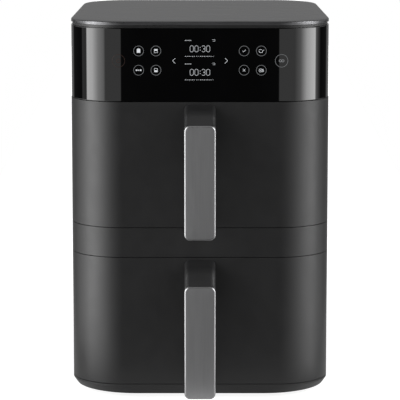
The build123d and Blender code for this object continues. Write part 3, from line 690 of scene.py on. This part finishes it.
def key_springs(name):
    """Ten wire springs, one behind each key: a circle carried along a helix whose angle and
    depth both grow evenly from the board to the panel."""
    spring_low, spring_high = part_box("touch_springs")
    wire = SPRING_WIRE
    turn = np.linspace(0, 2 * math.pi * SPRING_TURNS, SPRING_TURNS * 18)
    deep = np.linspace(spring_low.y + wire, spring_high.y - wire, len(turn))
    ring = np.linspace(0, 2 * math.pi, 9)[:-1]
    spread = SPRING_RADIUS + wire * np.cos(ring)[None, :]
    coil = np.stack([spread * np.cos(turn)[:, None],
                     deep[:, None] + wire * np.sin(ring)[None, :],
                     spread * np.sin(turn)[:, None]], -1)
    spots = [(side * x, z) for side in (-1, 1) for x in SPRING_COLUMNS
             for z in (LOWER_ROW, UPPER_ROW)]
    spots += [(side * x, MIDDLE_ROW) for side in (-1, 1) for x in (ARROWS[1][1], END_KEY)]
    rows, cols = coil.shape[:2]
    faces = grid_faces(rows, cols, close_columns=True).tolist() + end_caps(rows, cols)
    foot = panel_foot() - SPRING_DROP
    return build(name, [(coil + (x * MM, 0, z * MM + foot), faces) for x, z in spots], smooth=60)


# ---- finishes ----
class Finish:
    """A material under construction: one principled shader fed by patterns on the
    piece's own object coordinates, in metres."""

    def __init__(self, name, colour, roughness, metallic=0.0, **sockets):
        self.material = bpy.data.materials.new(name)
        self.material.use_nodes = True
        tree = self.material.node_tree
        self.nodes, self.links = tree.nodes, tree.links
        self.shader = self.nodes["Principled BSDF"]
        self.shader.inputs["Base Color"].default_value = (*colour, 1)
        self.shader.inputs["Roughness"].default_value = roughness
        self.shader.inputs["Metallic"].default_value = metallic
        for socket, value in sockets.items():
            self.shader.inputs[socket.replace("_", " ")].default_value = value
        self.colour, self.roughness, self.height = colour, roughness, None
        self.place = self.nodes.new("ShaderNodeTexCoord").outputs["Object"]

    def stretched(self, scale):
        """Object coordinates multiplied by a scale for each axis."""
        mapping = self.nodes.new("ShaderNodeMapping")
        mapping.inputs["Scale"].default_value = scale
        self.links.new(self.place, mapping.inputs["Vector"])
        return mapping.outputs["Vector"]

    def noise(self, scale, detail=2.0, stretch=(1, 1, 1)):
        """Cloudy noise, with features of about 1 / scale metres, drawn out along an axis
        whose stretch is under 1."""
        texture = self.nodes.new("ShaderNodeTexNoise")
        texture.inputs["Scale"].default_value = scale
        texture.inputs["Detail"].default_value = detail
        texture.inputs["Roughness"].default_value = 0.5
        self.links.new(self.stretched(stretch), texture.inputs["Vector"])
        return texture.outputs["Fac"]

    def cells(self, scale):
        """Distance to the nearest of scattered points, about 1 / scale metres apart."""
        texture = self.nodes.new("ShaderNodeTexVoronoi")
        texture.inputs["Scale"].default_value = scale
        self.links.new(self.place, texture.inputs["Vector"])
        return texture.outputs["Distance"]

    def bands(self, scale, direction):
        """Even bands along one axis."""
        texture = self.nodes.new("ShaderNodeTexWave")
        texture.bands_direction = direction
        texture.inputs["Scale"].default_value = scale
        texture.inputs["Distortion"].default_value = 0.0
        self.links.new(self.place, texture.inputs["Vector"])
        return texture.outputs["Fac"]

    def span(self, value, low_value, high_value, start=0.0, end=1.0):
        """A pattern mapped to a range."""
        node = self.nodes.new("ShaderNodeMapRange")
        node.inputs["From Min"].default_value = start
        node.inputs["From Max"].default_value = end
        node.inputs["To Min"].default_value = low_value
        node.inputs["To Max"].default_value = high_value
        self.links.new(value, node.inputs["Value"])
        return node.outputs["Result"]

    def tones(self, value, dark, light, start=0.3, end=0.7):
        """Colours the surface between two shares, or two colours, by a pattern."""
        ramp = self.nodes.new("ShaderNodeValToRGB")
        for element, tone, at in zip(ramp.color_ramp.elements, (dark, light), (start, end)):
            shade = tone if isinstance(tone, tuple) else tuple(c * tone for c in self.colour)
            element.color, element.position = (*shade, 1), at
        self.links.new(value, ramp.inputs["Fac"])
        self.links.new(ramp.outputs["Color"], self.shader.inputs["Base Color"])
        return self

    def gloss(self, value, spread, start=0.3, end=0.7):
        """Varies the roughness about its middle by a pattern."""
        out = self.span(value, self.roughness - spread, self.roughness + spread, start, end)
        self.links.new(out, self.shader.inputs["Roughness"])
        return self

    def relief(self, value, depth, strength):
        """Adds a bump of this depth in metres, on top of earlier ones."""
        node = self.nodes.new("ShaderNodeBump")
        node.inputs["Distance"].default_value = depth
        node.inputs["Strength"].default_value = strength
        self.links.new(value, node.inputs["Height"])
        if self.height is not None:
            self.links.new(self.height, node.inputs["Normal"])
        self.height = node.outputs["Normal"]
        self.links.new(self.height, self.shader.inputs["Normal"])
        return self


def casing_plastic(look):
    """Satin anthracite plastic with a fine eroded grain."""
    made = Finish("grained_casing_plastic", look.casing, look.casing_gloss)
    grain = made.noise(1500, 3)
    made.tones(made.noise(18, 3), 0.94, 1.06)
    made.gloss(made.noise(60, 4), 0.03)
    return made.relief(grain, 0.00003, 0.35).relief(made.cells(2600), 0.00002, 0.2)


def base_plastic(look):
    """The same plastic family, a little darker and coarser, for the base and top frame."""
    made = Finish("base_frame_plastic", (0.0072, 0.0072, 0.0074), 0.4)
    made.tones(made.noise(25, 3), 0.9, 1.1)
    made.gloss(made.noise(70, 3), 0.04)
    return made.relief(made.noise(1300, 3), 0.00004, 0.4)


def panel_gloss(look):
    """Deep black glossy fascia with a faint waviness and a trace of dust."""
    made = Finish("gloss_black_fascia", look.panel, 0.022)
    made.tones(made.noise(40, 4), 0.8, 1.25)
    made.gloss(made.noise(140, 5), 0.006)
    return made.relief(made.noise(9, 1), 0.000015, 0.06)


def lid_metal(look):
    """Dark brushed sheet with fine streaks from left to right."""
    made = Finish("brushed_lid_metal", look.lid, 0.3, 1.0)
    streaks = made.noise(700, 3, (0.02, 1, 1))
    made.tones(streaks, 0.86, 1.12)
    made.gloss(made.noise(420, 4, (0.04, 1, 1)), 0.05)
    return made.relief(streaks, 0.00002, 0.3)


def handle_metal(look):
    """Satin grey metal brushed along the handle's length."""
    made = Finish("satin_handle_metal", look.grip, 0.37, 1.0)
    streaks = made.noise(1100, 3, (1, 1, 0.025))
    made.tones(streaks, 0.97, 1.03)
    made.gloss(made.noise(600, 4, (1, 1, 0.05)), 0.02)
    return made.relief(streaks, 0.00001, 0.15)


def handle_plastic(look):
    """Satin black plastic of the handle arms."""
    made = Finish("satin_arm_plastic", (0.007, 0.007, 0.0073), 0.4)
    made.tones(made.noise(30, 3), 0.92, 1.08)
    made.gloss(made.noise(90, 4), 0.03)
    return made.relief(made.noise(1600, 3), 0.00002, 0.3)


def rubber(look):
    """Soft matt rubber with a floury bloom."""
    made = Finish("matt_foot_rubber", (0.012, 0.012, 0.0118), 0.82)
    made.tones(made.noise(120, 5), 0.75, 1.5)
    made.gloss(made.noise(200, 3), 0.06)
    return made.relief(made.noise(900, 4), 0.00005, 0.5)


def seal_silicone(look):
    """Grey silicone, slightly shiny, with moulding streaks."""
    made = Finish("grey_seal_silicone", (0.05, 0.05, 0.052), 0.58)
    made.tones(made.noise(80, 4), 0.85, 1.2)
    made.gloss(made.noise(150, 3), 0.07)
    return made.relief(made.noise(700, 3), 0.00003, 0.35)


def nonstick(look):
    """Dark non-stick coating: fine orange peel with scattered light specks."""
    made = Finish("speckled_nonstick_coating", (0.020, 0.020, 0.021), 0.34)
    made.tones(made.cells(620), (0.16, 0.16, 0.165), (0.020, 0.020, 0.021), 0.06, 0.13)
    made.gloss(made.noise(260, 3), 0.06)
    return made.relief(made.noise(520, 2), 0.00004, 0.35)


def sheet_steel(look):
    """Bright rolled sheet with streaks along its width and a few clouds."""
    made = Finish("rolled_steel_sheet", (0.47, 0.47, 0.475), 0.3, 1.0)
    made.tones(made.noise(14, 4), 0.84, 1.08)
    made.gloss(made.noise(480, 3, (0.03, 1, 1)), 0.08)
    return made.relief(made.noise(650, 3, (0.03, 1, 1)), 0.00001, 0.2)


def heater_steel(look):
    """Heat-tinted tube, brown to blue-grey in clouds."""
    made = Finish("heat_tinted_tube", (0.2, 0.17, 0.14), 0.42, 1.0)
    made.tones(made.noise(38, 4), (0.21, 0.15, 0.10), (0.15, 0.17, 0.21), 0.35, 0.65)
    made.gloss(made.noise(300, 3), 0.1)
    return made.relief(made.noise(900, 3), 0.00002, 0.3)


def screw_steel(look):
    """Zinc-plated steel with a fine turned texture."""
    made = Finish("zinc_plated_steel", (0.42, 0.42, 0.43), 0.32, 1.0)
    made.tones(made.noise(220, 4), 0.8, 1.12)
    made.gloss(made.noise(900, 2), 0.08)
    return made.relief(made.noise(1500, 2), 0.00001, 0.25)


def inner_plastic(look):
    """Plain moulded black plastic with flow marks."""
    made = Finish("moulded_inner_plastic", (0.018, 0.018, 0.019), 0.55)
    made.tones(made.noise(20, 4, (1, 1, 0.3)), 0.85, 1.15)
    made.gloss(made.noise(80, 3), 0.05)
    return made.relief(made.noise(1100, 3), 0.00003, 0.3)


def circuit(look):
    """Green board laminate with raised tracks and pale pads."""
    made = Finish("green_board_laminate", (0.012, 0.09, 0.035), 0.35)
    made.tones(made.cells(260), (0.30, 0.24, 0.10), (0.012, 0.09, 0.035), 0.10, 0.16)
    made.gloss(made.noise(400, 2), 0.08)
    return made.relief(made.noise(300, 1, (0.2, 1, 1)), 0.00004, 0.5)


def component(look):
    """Dark moulded component bodies with grey clouds."""
    made = Finish("moulded_component_resin", (0.05, 0.05, 0.055), 0.45)
    made.tones(made.noise(55, 2), (0.022, 0.022, 0.024), (0.09, 0.085, 0.075), 0.42, 0.58)
    made.gloss(made.noise(200, 3), 0.08)
    return made.relief(made.noise(900, 2), 0.00003, 0.3)


def insulation(look):
    """Pressed fibre mat, off-white with fine crossing fibres."""
    made = Finish("pressed_fibre_mat", (0.62, 0.60, 0.55), 0.95)
    made.tones(made.noise(900, 5, (0.2, 1, 1)), 0.72, 1.12)
    made.gloss(made.noise(200, 2), 0.03)
    return made.relief(made.noise(700, 5, (1, 0.2, 1)), 0.0004, 0.8)


def display_glass(look):
    """Dark display glass with a faint fingerprint haze."""
    made = Finish("dark_display_glass", (0.004, 0.004, 0.005), 0.08)
    made.tones(made.noise(150, 2), 0.7, 1.5)
    made.gloss(made.noise(90, 4), 0.03)
    return made.relief(made.noise(15, 1), 0.00001, 0.1)


def fan_aluminium(look):
    """Pressed aluminium, satin, with handling marks."""
    made = Finish("pressed_aluminium", (0.58, 0.585, 0.59), 0.34, 1.0)
    made.tones(made.noise(60, 5), 0.85, 1.07)
    made.gloss(made.noise(350, 3), 0.09)
    return made.relief(made.noise(800, 3), 0.00002, 0.3)


def motor_steel(look):
    """Lacquered steel laminations stacked front to back."""
    made = Finish("lacquered_laminations", (0.13, 0.13, 0.135), 0.4, 0.9)
    bands = made.bands(320, "Y")
    made.tones(bands, 0.7, 1.2)
    made.gloss(made.noise(300, 3), 0.07)
    return made.relief(bands, 0.00006, 0.5)


def bearing_bronze(look):
    """Sintered bronze with open pores."""
    made = Finish("sintered_bronze", (0.5, 0.33, 0.15), 0.4, 1.0)
    made.tones(made.cells(1400), 0.55, 1.05, 0.1, 0.3)
    made.gloss(made.noise(500, 3), 0.08)
    return made.relief(made.cells(1400), 0.00003, 0.4)


FINISHES = {
    "base_plastic": base_plastic, "body_plastic": casing_plastic, "panel_gloss": panel_gloss,
    "lid_metal": lid_metal, "handle_metal": handle_metal, "handle_plastic": handle_plastic,
    "rubber": rubber, "seal_silicone": seal_silicone, "nonstick": nonstick,
    "sheet_steel": sheet_steel, "heater_steel": heater_steel, "screw_steel": screw_steel,
    "inner_plastic": inner_plastic, "circuit": circuit, "component": component,
    "insulation": insulation, "display": display_glass, "fan_aluminium": fan_aluminium,
    "motor_steel": motor_steel, "bearing_bronze": bearing_bronze,
}
MADE = {}


def finish_for(slot):
    """The finish of a material slot, made the first time it is asked for."""
    if slot not in MADE:
        MADE[slot] = FINISHES[slot](bpy.context.scene.fryer_finish).material
    return MADE[slot]


def lit_ink(name, colour, strength):
    """Lit print: a pale ink that glows evenly, with slight unevenness in the print. On the unlit
    power mark this glow is a painted glow in place of light off its print.
    """
    made = Finish(name, tuple(c * 0.1 for c in colour), 0.4, Emission_Strength=strength)
    made.tones(made.noise(900, 2), 0.8, 1.2)
    ramp = made.nodes.new("ShaderNodeValToRGB")
    ramp.color_ramp.elements[0].color = (*(c * 0.88 for c in colour), 1)
    ramp.color_ramp.elements[1].color = (*colour, 1)
    made.links.new(made.noise(700, 2), ramp.inputs["Fac"])
    made.links.new(ramp.outputs["Color"], made.shader.inputs["Emission Color"])
    return made.material


# ---- operators ----
PANEL_WALL = 2.6 * MM
DIM_SHARE = 0.2  # brightness of the dim rings, as a share of the lit symbols'


class FRYER_OT_drawer_fronts(bpy.types.Operator):
    """Build the two moulded drawer fronts"""

    bl_idname = "fryer.drawer_fronts"
    bl_label = "Drawer fronts"

    def execute(self, context):
        shape = context.scene.fryer_shape
        for drawer in DRAWERS:
            node = f"{drawer}_drawer_front"
            shell = front_shell(f"{drawer}_front_shell", shape, low(node).z, high(node).z,
                                0.0, shape.shell)
            settle(shell, f"{drawer}_drawer", "body_plastic", finish_for("body_plastic"), node)
        return {"FINISHED"}


class FRYER_OT_middle_band(bpy.types.Operator):
    """Build the fixed band between the drawers"""

    bl_idname = "fryer.middle_band"
    bl_label = "Middle band"

    def execute(self, context):
        shape, node = context.scene.fryer_shape, "middle_band"
        shell = front_shell("band_shell", shape, low(node).z, high(node).z, 0.0, shape.shell)
        settle(shell, "body", "body_plastic", finish_for("body_plastic"), node)
        return {"FINISHED"}


class FRYER_OT_control_panel(bpy.types.Operator):
    """Build the glossy wrap-round control panel"""

    bl_idname = "fryer.control_panel"
    bl_label = "Control panel"

    def execute(self, context):
        shape, node = context.scene.fryer_shape, "control_panel"
        shell = front_shell("panel_fascia", shape, low(node).z, high(node).z,
                            shape.panel_inset, PANEL_WALL)
        settle(shell, "body", "panel_gloss", finish_for("panel_gloss"), node)
        return {"FINISHED"}


class FRYER_OT_panel_marks(bpy.types.Operator):
    """Build the rings and symbols of the touch keys"""

    bl_idname = "fryer.panel_marks"
    bl_label = "Panel marks"

    def execute(self, context):
        shape, look = context.scene.fryer_shape, context.scene.fryer_finish
        radius, line = shape.key_radius / MM, shape.key_line / MM
        rings = [(circle(x, z, radius), line, True) for _, x, z in KEYS]
        rings.append((circle(END_KEY, MIDDLE_ROW, END_RADIUS), line, True))
        symbols = [s for kind, x, z in KEYS + ARROWS for s in symbol_strokes(kind, x, z)]
        power = [(circle(-END_KEY, MIDDLE_ROW, END_RADIUS), line, True)]
        power += symbol_strokes("power", -END_KEY, MIDDLE_ROW)
        lit = tuple(look.lit)
        dim = tuple(DIM_SHARE * c for c in lit)
        groups = (
            ("key_rings", rings, lit_ink("dim_ring_print", dim, 1.0)),
            ("key_symbols", symbols, lit_ink("lit_symbol_print", lit, 0.8)),
            ("pairing_key_symbol", symbol_strokes("both", END_KEY, MIDDLE_ROW),
             lit_ink("half_lit_symbol_print", dim, 1.3)),
            # the power mark is not lit: its faint red glow is painted light, standing in for light
            # off its print
            ("power_key_mark", power, lit_ink("unlit_power_print_painted_glow", (0.05, 0.018, 0.01), 0.35)),
        )
        for name, strokes, ink in groups:
            settle(marks(name, shape, strokes), "body", "display", ink)
        return {"FINISHED"}


class FRYER_OT_display_readout(bpy.types.Operator):
    """Build the lit digits and dashes of the display"""

    bl_idname = "fryer.display_readout"
    bl_label = "Display readout"

    def execute(self, context):
        shape, lit = context.scene.fryer_shape, tuple(context.scene.fryer_finish.lit)
        digits = [s for foot in TIMER_FEET for s in readout_strokes(foot)]
        dashes = [s for foot in TIMER_FEET for s in caption_strokes(foot)]
        for name, strokes, ink in (("timer_digits", digits, "lit_digit_print"),
                                   ("timer_dashes", dashes, "lit_dash_print")):
            settle(marks(name, shape, strokes), "body", "display", lit_ink(ink, lit, 0.5))
        return {"FINISHED"}


class FRYER_OT_lid(bpy.types.Operator):
    """Build the metal lid"""

    bl_idname = "fryer.lid"
    bl_label = "Lid"

    def execute(self, context):
        lid = lid_shell("lid_shell", context.scene.fryer_shape)
        settle(lid, "body", "lid_metal", finish_for("lid_metal"), "top_cover")
        return {"FINISHED"}


class FRYER_OT_handles(bpy.types.Operator):
    """Build the handle arms and their face plates"""

    bl_idname = "fryer.handles"
    bl_label = "Handles"

    def execute(self, context):
        shape = context.scene.fryer_shape
        for drawer in DRAWERS:
            arm = handle_arm(f"{drawer}_grip_arm", drawer, shape)
            settle(arm, f"{drawer}_drawer", "handle_plastic", finish_for("handle_plastic"),
                   f"{drawer}_handle_arm")
            face = handle_face(f"{drawer}_grip_face", drawer, shape)
            settle(face, f"{drawer}_drawer", "handle_metal", finish_for("handle_metal"),
                   f"{drawer}_handle_plate")
        return {"FINISHED"}


class FRYER_OT_key_springs(bpy.types.Operator):
    """Build the wire springs between the touch board and the panel"""

    bl_idname = "fryer.key_springs"
    bl_label = "Key springs"

    def execute(self, context):
        springs = key_springs("key_springs")
        settle(springs, "body", "screw_steel", finish_for("screw_steel"), "touch_springs")
        return {"FINISHED"}


class FRYER_OT_frame_finishes(bpy.types.Operator):
    """Give every frame part the finish of its material slot"""

    bl_idname = "fryer.frame_finishes"
    bl_label = "Frame finishes"

    def execute(self, context):
        for part in frame["record"]["subparts"]:
            node = frame["nodes"][part["node"]]
            for slot in node.material_slots:
                slot.link = "OBJECT"
                slot.material = finish_for(part["material_slot"])
        return {"FINISHED"}


HIGH_STRIP_GAIN = 1.5  # the strips are brighter high up


def world_light(studio):
    """Studio surround by direction. Level with the panel, two tall crisp strips stand at
    the sides with dark flags behind them, and cards stand in front with a gap at the lens.
    Above and below that narrow band the side light is broad and soft. Higher up the strips
    come back, brighter, and a light stands overhead. The room behind is pale. What the
    lens sees directly is plain white."""
    world = bpy.data.worlds.new("studio_surround")
    bpy.context.scene.world = world
    world.use_nodes = True
    nodes, links = world.node_tree.nodes, world.node_tree.links
    nodes.clear()

    def link(value, socket):
        """Feeds a socket from a number or from another socket."""
        if isinstance(value, (int, float)):
            socket.default_value = value
        else:
            links.new(value, socket)

    def maths(operation, first, second=0.0):
        """One sum or function of two values."""
        node = nodes.new("ShaderNodeMath")
        node.operation = operation
        link(first, node.inputs[0])
        link(second, node.inputs[1])
        return node.outputs[0]

    def fade(value, start, end):
        """0 before start and 1 past end, with a smooth step between."""
        node = nodes.new("ShaderNodeMapRange")
        node.interpolation_type = "SMOOTHSTEP"
        node.inputs["From Min"].default_value = start
        node.inputs["From Max"].default_value = end
        links.new(value, node.inputs["Value"])
        return node.outputs["Result"]

    direction = nodes.new("ShaderNodeSeparateXYZ")
    links.new(nodes.new("ShaderNodeTexCoord").outputs["Generated"], direction.inputs[0])
    x, y, z = direction.outputs
    turn = maths("ARCTAN2", x, maths("MULTIPLY", y, -1.0))
    share = maths("ADD", maths("DIVIDE", turn, 2 * math.pi), 0.5)

    def round_about(stops):
        """Brightness by direction in plan, 0 degrees towards the lens, straight between stops."""
        ceiling = max(value for _, value in stops)
        ramp = nodes.new("ShaderNodeValToRGB")
        links.new(share, ramp.inputs["Fac"])
        elements = ramp.color_ramp.elements
        for _ in range(len(stops) - 2):
            elements.new(0.5)
        for element, (degrees, value) in zip(elements, stops):
            element.position = degrees / 360 + 0.5
            element.color = (value / ceiling, value / ceiling, value / ceiling, 1)
        return maths("MULTIPLY", ramp.outputs["Color"], ceiling)

    strips, card, back = studio.strips, studio.surround, studio.back
    tall = round_about((
        (-180, back), (-145, back), (-140, 0.0), (-103, 0.0), (-101, 0.05 * strips),
        (-88, 0.05 * strips), (-86, strips), (-71, strips), (-56, 0.5 * strips),
        (-42, 0.22 * strips), (-38, 0.0), (38, 0.0), (52, 0.22 * strips), (69, 0.85 * strips),
        (81, strips), (93, strips), (95, 0.18 * strips), (104, 0.05 * strips), (112, 0.0),
        (140, 0.0), (145, back), (180, back)))
    cards = round_about((
        (-180, 0.0), (-55, 0.0), (-38, card), (-3.2, card), (-2.8, 0.0), (2.8, 0.0),
        (3.2, card), (38, card), (55, 0.0), (180, 0.0)))
    broad = round_about((
        (-180, back), (-145, back), (-140, 0.0), (-118, 0.14 * strips), (-95, 0.32 * strips),
        (-74, 0.50 * strips), (-52, 0.40 * strips), (-32, 0.15 * strips), (-18, 0.05 * strips),
        (-5, 0.0), (5, 0.0), (18, 0.02 * strips), (32, 0.07 * strips), (52, 0.19 * strips),
        (70, 0.19 * strips), (95, 0.15 * strips), (118, 0.12 * strips), (140, 0.0), (145, back),
        (180, back)))

    def between(low_start, low_end, high_start, high_end):
        """1 between two heights of direction, fading to 0 below and above."""
        return maths("MULTIPLY", fade(z, low_start, low_end),
                     maths("SUBTRACT", 1.0, fade(z, high_start, high_end)))

    narrow = between(-0.17, -0.14, -0.06, -0.03)
    crisp = maths("MULTIPLY", maths("ADD", tall, cards), narrow)
    beside = maths("MULTIPLY", maths("SUBTRACT", 1.0, narrow), between(-0.60, -0.40, 0.20, 0.34))
    soft = maths("MULTIPLY", broad, beside)
    upper = maths("MULTIPLY", between(0.20, 0.34, 0.62, 0.85), HIGH_STRIP_GAIN)
    high_strips = maths("MULTIPLY", tall, upper)
    around = maths("ADD", maths("ADD", crisp, soft), high_strips)
    above = maths("MULTIPLY", fade(z, 0.80, 0.95), studio.overhead)
    total = maths("ADD", maths("ADD", around, above), studio.fill)
    lit, plain = nodes.new("ShaderNodeBackground"), nodes.new("ShaderNodeBackground")
    links.new(total, lit.inputs["Strength"])
    mix = nodes.new("ShaderNodeMixShader")
    links.new(nodes.new("ShaderNodeLightPath").outputs["Is Camera Ray"], mix.inputs["Fac"])
    links.new(lit.outputs[0], mix.inputs[1])
    links.new(plain.outputs[0], mix.inputs[2])
    for background in (lit, plain):
        background.inputs["Color"].default_value = (1, 1, 1, 1)
    links.new(mix.outputs[0], nodes.new("ShaderNodeOutputWorld").inputs["Surface"])


FLOOR_HALF, FLOOR_NEAR, FLOOR_FAR = 0.36, -0.24, 6.5  # metres from the origin
FLOOR_GLOW, FLOOR_SEEN = 0.3, 0.9  # what the floor gives off, and as the lens sees it


class FRYER_OT_studio(bpy.types.Operator):
    """Build the floor, the light and the camera"""

    bl_idname = "fryer.studio"
    bl_label = "Studio"

    def execute(self, context):
        studio = context.scene.fryer_studio
        mesh = bpy.data.meshes.new("studio_floor")
        corners = np.array([(-FLOOR_HALF, FLOOR_NEAR, 0), (FLOOR_HALF, FLOOR_NEAR, 0),
                            (FLOOR_HALF, FLOOR_FAR, 0), (-FLOOR_HALF, FLOOR_FAR, 0)])
        mesh.from_pydata(corners, [], [[0, 1, 2, 3]])
        floor = bpy.data.objects.new("studio_floor", mesh)
        context.scene.collection.objects.link(floor)
        pale = Finish("pale_studio_floor", (0.25, 0.25, 0.25), 0.9)
        pale.shader.inputs["Emission Color"].default_value = (1, 1, 1, 1)
        pale.tones(pale.noise(2, 2), 0.99, 1.01)
        seen = pale.nodes.new("ShaderNodeLightPath").outputs["Is Camera Ray"]
        pale.links.new(pale.span(seen, FLOOR_GLOW, FLOOR_SEEN),
                       pale.shader.inputs["Emission Strength"])
        mesh.materials.append(pale.material)
        world_light(studio)
        lens = bpy.data.cameras.new("studio_camera")
        lens.lens, lens.sensor_width = studio.lens, 36.0
        lens.clip_start, lens.clip_end = 0.05, 50.0
        camera = bpy.data.objects.new("studio_camera", lens)
        camera.location = (0.0, -studio.distance, studio.height)
        camera.rotation_euler = (math.pi / 2 - studio.pitch, 0.0, 0.0)
        context.scene.collection.objects.link(camera)
        context.scene.camera = camera
        context.scene.view_settings.view_transform = "Standard"
        return {"FINISHED"}


STEPS = (
    FRYER_OT_frame_finishes, FRYER_OT_drawer_fronts, FRYER_OT_middle_band, FRYER_OT_control_panel,
    FRYER_OT_panel_marks, FRYER_OT_display_readout, FRYER_OT_lid, FRYER_OT_handles,
    FRYER_OT_key_springs, FRYER_OT_studio,
)


class FRYER_PT_workshop(bpy.types.Panel):
    """Lists the steps that build the air fryer"""

    bl_idname = "FRYER_PT_workshop"
    bl_label = "Air fryer"
    bl_space_type = "VIEW_3D"
    bl_region_type = "UI"
    bl_category = "Air fryer"

    def draw(self, context):
        for step in STEPS:
            self.layout.operator(step.bl_idname)


SETTINGS = {
    "fryer_shape": ShapeSettings, "fryer_finish": FinishSettings, "fryer_studio": StudioSettings,
}
CLASSES = (*SETTINGS.values(), *STEPS, FRYER_PT_workshop)


def register():
    """Registers every class and hangs the settings on the scene."""
    for one in CLASSES:
        bpy.utils.register_class(one)
    for name, group in SETTINGS.items():
        setattr(bpy.types.Scene, name, bpy.props.PointerProperty(type=group))


def unregister():
    """Takes the settings and the classes away again."""
    for name in SETTINGS:
        delattr(bpy.types.Scene, name)
    for one in reversed(CLASSES):
        bpy.utils.unregister_class(one)


def main():
    """Registers the add-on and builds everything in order."""
    register()
    for step in STEPS:
        group, name = step.bl_idname.split(".")
        getattr(getattr(bpy.ops, group), name)()


if __name__ == "__main__":
    main()
